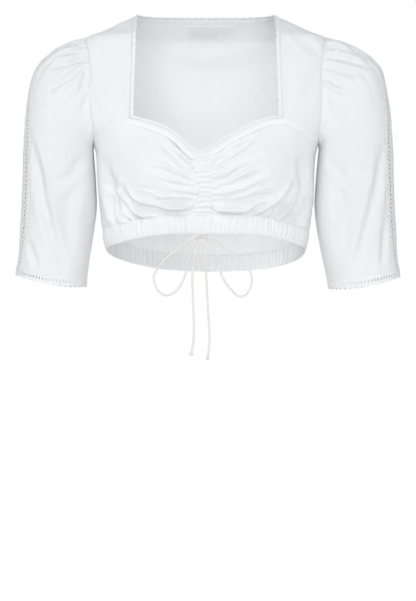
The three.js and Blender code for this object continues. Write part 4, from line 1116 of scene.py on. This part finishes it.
class LaceStrip:
    """A strip of lace laid flat: places along and across, its faces, and how far each point is raised.

    bands run across the strip from the cloth's edge: each has a start, an end and, where it is
    pierced, a hole's radius, how many quarter pitches its cell takes, and a shift of half a pitch.
    scallop gives the free edge's wave: its depth and its length, or None."""

    def __init__(self, length, pitch, bands, scallop, ring):
        self.length = length
        self.repeats = max(1, round(length / pitch))
        self.columns = self.repeats * QUARTERS
        self.step = length / self.columns
        self.ring = ring
        self.around = self.columns if ring else self.columns + 1
        self.edge_start, self.edge_end = bands[-1]["start"], bands[-1]["end"]
        self.scallop = scallop
        self.levels = [mix(band["start"], band["end"], k / self.rows_in(band))
                       for band in bands for k in range(self.rows_in(band))] + [self.edge_end]
        self.places, self.raised, self.faces, self.index = [], [], [], {}
        level = 0
        for band in bands:
            if band.get("hole"):
                self.add_pierced(band, level)
            else:
                for row in range(self.rows_in(band)):
                    for i in range(self.columns):
                        self.add_cell(i, level + row)
            level += self.rows_in(band)

    def rows_in(self, band):
        return 2 if band.get("hole") else band["rows"]

    def add_place(self, along, across, raised):
        self.places.append((along, across))
        self.raised.append(raised)
        return len(self.places) - 1

    def scalloped(self, along, across):
        """The free edge's band, drawn in between its scallops."""
        if not self.scallop or across <= self.edge_start:
            return across
        scallops = max(1, round(self.length / self.scallop["length"]))
        wave = abs(math.sin(math.pi * scallops * along / self.length))
        share = (across - self.edge_start) / (self.edge_end - self.edge_start)
        return across - self.scallop["depth"] * (1 - wave ** 0.6) * share

    def vertex(self, i, level):
        key = (i % self.around, level)
        if key not in self.index:
            along = key[0] * self.step
            self.index[key] = self.add_place(along, self.scalloped(along, self.levels[level]), 0.0)
        return self.index[key]

    def add_cell(self, i, level):
        self.faces.append([self.vertex(i, level), self.vertex(i + 1, level),
                           self.vertex(i + 1, level + 1), self.vertex(i, level + 1)])

    def add_hole(self, first, span, band, level):
        """A round hole with a raised rim, in the cells from first on."""
        outline = [(first + k, level) for k in range(span)]
        outline += [(first + span, level), (first + span, level + 1)]
        outline += [(first + k, level + 2) for k in range(span, 0, -1)]
        outline += [(first, level + 2), (first, level + 1)]
        x, y = (first + span / 2) * self.step, (band["start"] + band["end"]) / 2
        angles = [math.atan2(self.levels[j] - y, i * self.step - x) for i, j in outline]
        rings = [[self.vertex(i, j) for i, j in outline]]
        for radius, raised in ((band["hole"] + RIM["width"], RIM["top"]), (band["hole"], RIM["inside"])):
            rings.append([self.add_place(x + radius * math.cos(angle), y + radius * math.sin(angle), raised)
                          for angle in angles])
        for outer, inner in zip(rings, rings[1:]):
            for a in range(len(outline)):
                b = (a + 1) % len(outline)
                self.faces.append([outer[a], outer[b], inner[b], inner[a]])

    def add_pierced(self, band, level):
        span = band.get("span", QUARTERS)
        shift = QUARTERS // 2 if band.get("shifted") else 0
        pierced = set()
        for k in range(self.repeats):
            first = k * QUARTERS + (QUARTERS - span) // 2 + shift
            if first + span <= self.columns or self.ring:
                pierced.update(i % self.columns for i in range(first, first + span))
                self.add_hole(first, span, band, level)
        for i in range(self.columns):
            if i not in pierced:
                self.add_cell(i, level)
                self.add_cell(i, level + 1)


def make_lace(name, node, length, pitch, bands, scallop, place, lift=0.15, ring=False):
    """place(along, across) gives the points and normals of the strip's form, in millimetres."""
    strip = LaceStrip(length, pitch, bands, scallop, ring)
    flat = np.array(strip.places)
    points, normals = place(flat[:, 0], flat[:, 1])
    ripple = 0.25 * np.sin(2 * math.pi * flat[:, 0] / 23 + 0.8) * smooth(2, 7, flat[:, 1])
    points = points + normals * (lift + np.array(strip.raised) + ripple)[:, None]
    vertices, faces = thicken(points, normals, strip.faces, LACE_SHELL)
    both_sides = np.concatenate([flat, flat + LACE_BACK_FACE])
    piece = new_object(name, vertices, face_out(vertices, faces), both_sides)
    return finish_piece(piece, LACE_COTTON, [node])


def along_line(form, count=240):
    """Turns a distance along a line, form(v), into its share v of the whole, and gives its length."""
    v = np.linspace(0, 1, count)
    lengths = arc_places(form(v))
    return lengths[-1], lambda along: np.interp(along, lengths, v)


OVERLAP = 1.2
NECK_BANDS = [
    dict(start=-OVERLAP, end=2.0, rows=1),
    dict(start=2.0, end=5.2, hole=1.3),
    dict(start=5.2, end=9.0, rows=3),
]
SWEETHEART_BANDS = [
    dict(start=-OVERLAP, end=1.2, rows=1),
    dict(start=1.2, end=4.4, hole=1.15),
    dict(start=4.4, end=7.0, rows=2),
]
BACK_BANDS = [
    dict(start=-OVERLAP, end=1.6, rows=1),
    dict(start=1.6, end=4.4, hole=0.95),
    dict(start=4.4, end=7.4, rows=2),
]
CUFF_BANDS = [
    dict(start=-OVERLAP, end=1.3, rows=1),
    dict(start=1.3, end=4.3, hole=1.25),
    dict(start=4.3, end=7.3, rows=3),
]
INSERTION_BANDS = [
    dict(start=-0.8, end=2.4, rows=1),
    dict(start=2.4, end=6.2, hole=1.2, span=2, shifted=True),
    dict(start=6.2, end=12.8, hole=2.0),
    dict(start=12.8, end=16.6, hole=1.2, span=2, shifted=True),
    dict(start=16.6, end=19.8, rows=1),
]


def make_neck_lace(side, label):
    def inner_edge(v):
        z = mix(NECK["lace_top_z"], NECK["corner_z"] + SWEETHEART[side][-1]["lace"], v ** NECK["bend"])
        x = mix(body_half(NECK["lace_top_z"]), NECK["corner_x"] - NECK["lace"], v)
        return turn_at(side * x, z), z

    length, share = along_line(lambda v: body_point(*neck_edge(side, v)))

    def place(along, across):
        v = share(along)
        over = across / NECK["lace"]
        turn, z = (mix(start, end, over) for start, end in zip(neck_edge(side, v), inner_edge(v)))
        return body_form(np.clip(turn, -math.pi / 2, math.pi / 2), z)

    return make_lace(f"neck_lace_edge_{label}", f"neck_lace_{label}", length, 4.5, NECK_BANDS,
                     dict(depth=2.0, length=11.0), place)


def make_back_lace():
    def around(v):
        return math.pi - mix(-math.pi / 2, math.pi / 2, v)

    length, share = along_line(lambda v: body_point(around(v), np.full_like(v, NECK["top_z"])))

    def place(along, across):
        turn = around(share(along))
        highest = NECK["top_z"] + NECK["back_lace"] - NECK["lace_top_z"]
        top = NECK["lace_top_z"] - highest * np.cos(turn)
        return body_form(turn, mix(NECK["top_z"], top, across / NECK["back_lace"]))

    return make_lace("neck_lace_edge_back", "neck_lace_back", length, 4.5, BACK_BANDS,
                     dict(depth=1.7, length=11.0), place)


def make_bust_lace(side, label):
    def edge(v):
        x, z = sweetheart(side, v)
        return body_point(turn_at(x, z), z)

    length, share = along_line(edge)

    def place(along, across):
        v = share(along)
        over = across / SWEETHEART_BANDS[-1]["end"]
        x, z = (start + way * over for start, way in zip(sweetheart(side, v), lace_way(side, v)))
        return body_form(turn_at(x, z), z)

    return make_lace(f"bust_lace_edge_{label}", f"bust_lace_{label}", length, 3.7, SWEETHEART_BANDS,
                     dict(depth=1.1, length=7.5), place, lift=0.9)


def make_sleeve_lace(side, label):
    def middle(v):
        s = down_sleeve(v)
        return sleeve_point(side, s, insertion_turn(s))

    length, share = along_line(middle)

    def place(along, across):
        s = down_sleeve(share(along))
        half = insertion_half(side, s, SLEEVE_LACE_HALF)
        return sleeve_form(side, s, insertion_turn(s) + half * (across / SLEEVE_LACE_HALF - 1))

    return make_lace(f"sleeve_lace_strip_{label}", f"sleeve_lace_{label}", length, 6.0, INSERTION_BANDS, None,
                     place, lift=0.25)


def make_cuff_lace(side, label):
    start = CUFF["lace_start"]
    depth = CUFF_BANDS[-1]["end"]

    def edge(v):
        return sleeve_point(side, np.full_like(v, start), mix(-math.pi, math.pi, v))

    length, share = along_line(edge)

    def place(along, across):
        s = mix(start, 1.0, np.clip(across, None, depth) / depth)
        return sleeve_form(side, s, mix(-math.pi, math.pi, share(along)))

    return make_lace(f"cuff_lace_edge_{label}", f"cuff_lace_{label}", length, 4.9, CUFF_BANDS,
                     dict(depth=1.8, length=8.5), place, ring=True)


# Sewing

# A stitch dips into the cloth at its two ends, and is round between them
STITCH = dict(pitch=2.8, share=0.72, end=0.18, radius=0.17, lift=0.1, sink=-0.12)
ROUND_STITCH = ((1, 0), (0, 1), (-1, 0), (0, -1))

# How far each row of stitches runs from its edge or seam, or down the hem casing
FROM_EDGE = dict(neck_degrees=1.5, seam=2.2, sweetheart=8.0, insertion=1.6, cuff=0.006, hem=(1.6, 22.4))


def make_stitches(name, lines):
    """Rows of raised stitches. Each line gives its points and the way out of the cloth there."""
    radius = STITCH["radius"]
    stations = np.array([0, STITCH["end"], STITCH["share"] - STITCH["end"], STITCH["share"]])
    sides = len(ROUND_STITCH)
    vertices, faces, flats = [], [], []
    for points, normals in lines:
        lengths = arc_places(points)
        for k in range(int(lengths[-1] / STITCH["pitch"])):
            at = (k + stations) * STITCH["pitch"]
            centre = np.stack([np.interp(at, lengths, points[:, a]) for a in range(3)], -1)
            out = unit(np.stack([np.interp(at, lengths, normals[:, a]) for a in range(3)], -1))
            across = unit(np.cross(out, unit(centre[-1] - centre[0])))
            centre = centre + out * STITCH["lift"]
            first = len(vertices)
            vertices.append(centre[0] + out[0] * STITCH["sink"])
            for ring in (1, 2):
                for a, b in ROUND_STITCH:
                    vertices.append(centre[ring] + radius * (a * across[ring] + b * out[ring]))
            vertices.append(centre[3] + out[3] * STITCH["sink"])
            flats += [(k * STITCH["pitch"], 0)] * (2 * sides + 2)
            near, far, last = first + 1, first + 1 + sides, first + 1 + 2 * sides
            for a in range(sides):
                b = (a + 1) % sides
                faces.append([first, near + b, near + a])
                faces.append([near + a, near + b, far + b, far + a])
                faces.append([last, far + a, far + b])
    piece = new_object(name, vertices, face_out(vertices, faces), flats, smooth_angle=None)
    return finish_piece(piece, THREAD, [])


def body_line(place, relief):
    """A line on the body at those turns and levels, moved out by the cloth's relief there."""
    points, normals = body_form(*place)
    return points + normals * relief, normals


def stitch_rows(side):
    v = np.linspace(0, 1, 400)
    neck_turn, neck_z = neck_edge(side, v)
    seam_turn, seam_z = bust_seam(side, v)
    edge_x, edge_z = sweetheart(side, mix(1 / (len(SWEETHEART[side]) - 1), 1, v))
    under_edge = edge_z - FROM_EDGE["sweetheart"]
    return [
        body_line((neck_turn + side * np.radians(FROM_EDGE["neck_degrees"]), neck_z), 0.05),
        body_line((seam_turn, seam_z + FROM_EDGE["seam"]), -0.1),
        body_line((seam_turn, seam_z - FROM_EDGE["seam"]), 0.05),
        body_line((turn_at(edge_x, under_edge), under_edge), -0.3),
    ]


def hem_stitches():
    rows = []
    share = np.linspace(0, 1, 900)
    for face in ("front", "back"):
        turn, top = hem_way(face, share)
        wave = pleat_wave(share, HEM_PLEATS[face], HEM_SEEDS[face])
        for down in FROM_EDGE["hem"]:
            relief = HEM["proud"] + hem_fullness(down / HEM["height"]) * HEM["depth"] * wave
            rows.append(body_line((turn, top - down), relief[:, None]))
    return rows


def sleeve_stitches(side):
    v = np.linspace(0, 1, 500)
    s = down_sleeve(v)
    beside = insertion_half(side, s, SLEEVE_LACE_HALF + FROM_EDGE["insertion"])
    lines = [(s, insertion_turn(s) + sign * beside) for sign in (-1, 1)]
    lines.append((np.full_like(v, CUFF["lace_start"] - FROM_EDGE["cuff"]), mix(-math.pi, math.pi, v)))
    rows = []
    for down, turn in lines:
        points, normals = sleeve_form(side, down, turn)
        rows.append((points + normals * 0.1, normals))
    return rows


# Drawstring

def spline_points(points, steps):
    """A centripetal curve through the points, as the solids' cords follow."""
    points = np.asarray(points, float)
    padded = np.concatenate([[2 * points[0] - points[1]], points, [2 * points[-1] - points[-2]]])

    def between(p, q, start, end, t):
        return p * (end - t) / (end - start) + q * (t - start) / (end - start)

    out = []
    for k in range(1, len(padded) - 2):
        p = padded[k - 1:k + 3]
        at = [0.0]
        for a in range(3):
            at.append(at[-1] + max(np.linalg.norm(p[a + 1] - p[a]), 1e-6) ** 0.5)
        for t in np.linspace(at[1], at[2], steps, endpoint=False):
            first = [between(p[a], p[a + 1], at[a], at[a + 1], t) for a in range(3)]
            second = [between(first[a], first[a + 1], at[a], at[a + 2], t) for a in range(2)]
            out.append(between(second[0], second[1], at[1], at[2], t))
    out.append(points[-1])
    return np.array(out)


def even_steps(line, step):
    lengths = arc_places(line)
    at = np.linspace(0, lengths[-1], max(8, int(lengths[-1] / step)) + 1)
    return np.stack([np.interp(at, lengths, line[:, a]) for a in range(3)], -1), lengths[-1]


# The cord's three strands: how deep between them, and how long a turn is at that cord's radius
TWIST = dict(strands=3, groove=0.1, turn_length=7.0, radius=1.5, sides=18)


def twisted_tube(line, radius, closed=False):
    """A three-strand twisted cord along a line: its points and faces. All lengths share one unit."""
    count = len(line)
    if closed:
        run = unit(np.roll(line, -1, axis=0) - np.roll(line, 1, axis=0))
    else:
        run = unit(np.gradient(line, axis=0))
    up = unit(np.cross(run[0], [0.31, 0.83, 0.47]))
    frames = []
    for k in range(count):
        up = unit(up - run[k] * np.dot(up, run[k]))
        frames.append(up)
    ups = np.array(frames)
    sides = np.cross(run, ups)
    places = arc_places(line)
    angles = 2 * math.pi * np.arange(TWIST["sides"]) / TWIST["sides"]
    lay = 2 * math.pi * places / (TWIST["turn_length"] * radius / TWIST["radius"])
    lobes = np.abs(np.cos(TWIST["strands"] * (angles[None, :] - lay[:, None]) / 2)) ** 0.7
    spread = radius * (1 - TWIST["groove"] + TWIST["groove"] * lobes)
    vertices = (line[:, None, :] + spread[..., None] * (np.cos(angles)[None, :, None] * ups[:, None, :]
                + np.sin(angles)[None, :, None] * sides[:, None, :])).reshape(-1, 3)
    n = TWIST["sides"]
    faces = []
    last = count if closed else count - 1
    for k in range(last):
        for a in range(n):
            b = (a + 1) % n
            k2 = (k + 1) % count
            faces.append([k * n + a, k * n + b, k2 * n + b, k2 * n + a])
    if not closed:
        faces.append(list(range(n))[::-1])
        faces.append([(count - 1) * n + a for a in range(n)])
    flats = np.stack([np.repeat(places, n), np.tile(angles * radius, count)], -1)
    return vertices, faces, flats


def knot_seat(seat):
    """Where a cord meets the bow's knot, and the next point straight out of it, in metres."""
    around = math.radians(seat["around"])
    ahead = math.radians(seat["ahead"])
    size = np.array([BOW_KNOT["width"], BOW_KNOT["depth"], BOW_KNOT["height"]])
    way = np.array([math.cos(around) * math.cos(ahead), -math.sin(ahead), math.sin(around) * math.cos(ahead)])
    out = unit(way / size)
    start = np.array([BOW_KNOT["x"], BOW_KNOT["y"], BOW_KNOT["z"]]) + way * size + out * KNOT_GAP
    return [start, start + out * CORD_STRAIGHT]


def cord_route(cord):
    points = knot_seat(cord["start"]) + [np.array(p) for p in cord["points"]]
    if cord["end"]:
        points += knot_seat(cord["end"])[::-1]
    return np.array(points)


def make_cord(name, cord, node):
    line, length = even_steps(spline_points(cord_route(cord), 24), 0.0008)
    vertices, faces, flats = twisted_tube(line / MM, CORD_RADIUS / MM)
    piece = new_object(name, vertices, face_out(vertices, faces), flats, smooth_angle=None)
    return finish_piece(piece, CORD_COTTON, [node]), line, length


# How far the tied cord reaches from a knot's centre, and the radius it is pulled down to
BOW_KNOT_TIE = dict(size=(6.0, 2.6, 2.9), radius=1.35)
END_KNOT_TIE = dict(size=(1.9, 1.2, 1.9), radius=0.95)


def knot_line(centre, size, wraps=2, lobes=3, count=150):
    """A closed knotted line, like cord tied and pulled tight, round a centre."""
    t = np.linspace(0, 2 * math.pi, count, endpoint=False)
    x = (2 + np.cos(lobes * t)) * np.cos(wraps * t) / 3
    z = (2 + np.cos(lobes * t)) * np.sin(wraps * t) / 3
    y = np.sin(lobes * t)
    return np.asarray(centre) + np.stack([x * size[0], y * size[1], z * size[2]], -1)


def make_knot(name, centre, tie, node):
    vertices, faces, flats = twisted_tube(knot_line(centre, tie["size"]), tie["radius"], closed=True)
    piece = new_object(name, vertices, face_out(vertices, faces), flats, smooth_angle=None)
    return finish_piece(piece, CORD_COTTON, [node])


def end_knot_centre(cord):
    before, last = cord_route(cord)[-2:]
    return (last + unit(last - before) * (END_KNOT_RADIUS + KNOT_GAP)) / MM


# Label

def make_tab(name, tab, node):
    u, v = grid(*GRIDS["tape"])
    z = mix(tab["top"], tab["bottom"], v)
    turn = math.pi - turn_at(mix(tab["from_x"], tab["to_x"], u), z)
    normal = body_normal(turn, z)
    lift = 0.35 * np.sin(math.pi * u) * np.sin(math.pi * v)
    edge = 0.12 * smooth(0.0, 0.06, np.minimum(u, 1 - u)) * smooth(0.0, 0.12, np.minimum(v, 1 - v))
    outer = body_point(turn, z) - normal * (TAPE_BEHIND + lift - edge)[..., None]
    piece = cloth_shell(name, outer, normal, TAPE_SHELL)
    return finish_piece(piece, TAPE, [node])


# The stage: a pale floor well below, soft light from the front, and the camera

FLOOR = dict(half=1300, level=-1000)

# The lights, in metres and watts, and how strong the light from all round is
LIGHTS = table(
    "name place target size power",
    ("front", (0.1, -3.6, -0.1), (0, 0, -0.2), 2.4, 59),
    ("key", (-0.9, -2.0, 1.9), (0, 0, -0.2), 0.9, 19),
    ("side_left", (-2.4, -0.5, 0.0), (-0.1, 0, -0.2), 1.6, 7),
    ("side_right", (2.4, -0.5, 0.0), (0.1, 0, -0.2), 1.6, 9),
    ("back", (0, 2.4, 0.1), (0, 0, -0.2), 3.0, 32),
)
AMBIENT = 0.37


def make_stage():
    material, tree, shader = node_material("floor_paint", (0.92, 0.92, 0.93), 0.9, 0.0, 0.1)
    grain = stretched_noise(tree, tree.nodes.new("ShaderNodeTexCoord").outputs["Object"], (30, 30, 30), 2)
    raise_surface(tree, shader, grain, 0.05, 0.002)
    half, level = FLOOR["half"], FLOOR["level"]
    corners = [(-half, -half, level), (half, -half, level), (half, half, level), (-half, half, level)]
    floor = new_object("floor", corners, [[0, 1, 2, 3]], smooth_angle=None)
    floor.data.materials.append(material)


def make_light(name, place, target, size, power):
    data = bpy.data.lights.new(name, "AREA")
    data.shape = "DISK"
    data.size = size
    data.energy = power
    light = add_object(name, data)
    light.location = place
    light.visible_camera = False
    light.rotation_euler = (Vector(target) - Vector(place)).to_track_quat("-Z", "Y").to_euler()


def make_world(ambient):
    world = bpy.data.worlds.new("studio")
    bpy.context.scene.world = world
    world.use_nodes = True
    tree = world.node_tree
    tree.nodes.clear()
    seen = tree.nodes.new("ShaderNodeBackground")
    seen.inputs["Color"].default_value = (1, 1, 1, 1)
    seen.inputs["Strength"].default_value = 1.0
    light = tree.nodes.new("ShaderNodeBackground")
    light.inputs["Color"].default_value = (0.97, 0.985, 1, 1)
    light.inputs["Strength"].default_value = ambient
    path = tree.nodes.new("ShaderNodeLightPath")
    choose = tree.nodes.new("ShaderNodeMixShader")
    out = tree.nodes.new("ShaderNodeOutputWorld")
    tree.links.new(path.outputs["Is Camera Ray"], choose.inputs["Fac"])
    tree.links.new(light.outputs["Background"], choose.inputs[1])
    tree.links.new(seen.outputs["Background"], choose.inputs[2])
    tree.links.new(choose.outputs["Shader"], out.inputs["Surface"])


def make_camera():
    data = bpy.data.cameras.new("camera")
    data.sensor_fit = "VERTICAL"
    data.sensor_height = CAMERA["sensor"]
    data.lens = CAMERA["sensor"] * CAMERA["away"] / CAMERA["picture_height"]
    camera = add_object("camera", data)
    camera.location = (CAMERA["x"] * MM, -CAMERA["away"] * MM, CAMERA["z"] * MM)
    camera.rotation_euler = (math.pi / 2, 0, 0)
    bpy.context.scene.camera = camera


make_camera()

bow_centre = np.array([BOW_KNOT["x"], BOW_KNOT["y"], BOW_KNOT["z"]]) / MM
bow_knot = make_knot("bow_knot_tied", bow_centre, BOW_KNOT_TIE, "bow_knot")
end_knots = {}
for label, cord in (("left", TAIL_LEFT), ("right", TAIL_RIGHT)):
    end_knots[label] = make_knot(
        f"end_knot_tied_{label}", end_knot_centre(cord), END_KNOT_TIE, f"end_knot_{label}")
cords = (
    ("loop_left", LOOP_LEFT, "object", []), ("loop_right", LOOP_RIGHT, "object", []),
    ("tail_left", TAIL_LEFT, "knot", [end_knots["left"], bow_knot]),
    ("tail_right", TAIL_RIGHT, "knot", [end_knots["right"]]),
)
for node, cord, far_end, tied in cords:
    piece, path, length = make_cord(f"bow_{node}", cord, node)

make_back()
make_tunnel()
make_hem("front")
make_hem("back")
make_back_lace()
for side, label in ((-1, "left"), (1, "right")):
    make_yoke(side, label)
    make_bust(side, label)
    for face in ("front", "back"):
        make_sleeve_half(side, label, face)
    make_sleeve_lace(side, label)
    make_cuff_lace(side, label)
    make_neck_lace(side, label)
    make_bust_lace(side, label)
    make_edging(side, label)
    make_stitches(f"stitches_front_{label}", stitch_rows(side))
    make_stitches(f"stitches_sleeve_{label}", sleeve_stitches(side))
make_stitches("stitches_hem", hem_stitches())
make_tab("neck_label_tape", LABEL, "neck_label")
make_tab("size_tab_tape", SIZE_TAB, "size_tab")

make_stage()
make_world(AMBIENT)
for lamp in LIGHTS:
    make_light(**lamp)
bpy.context.scene.view_settings.view_transform = "Standard"
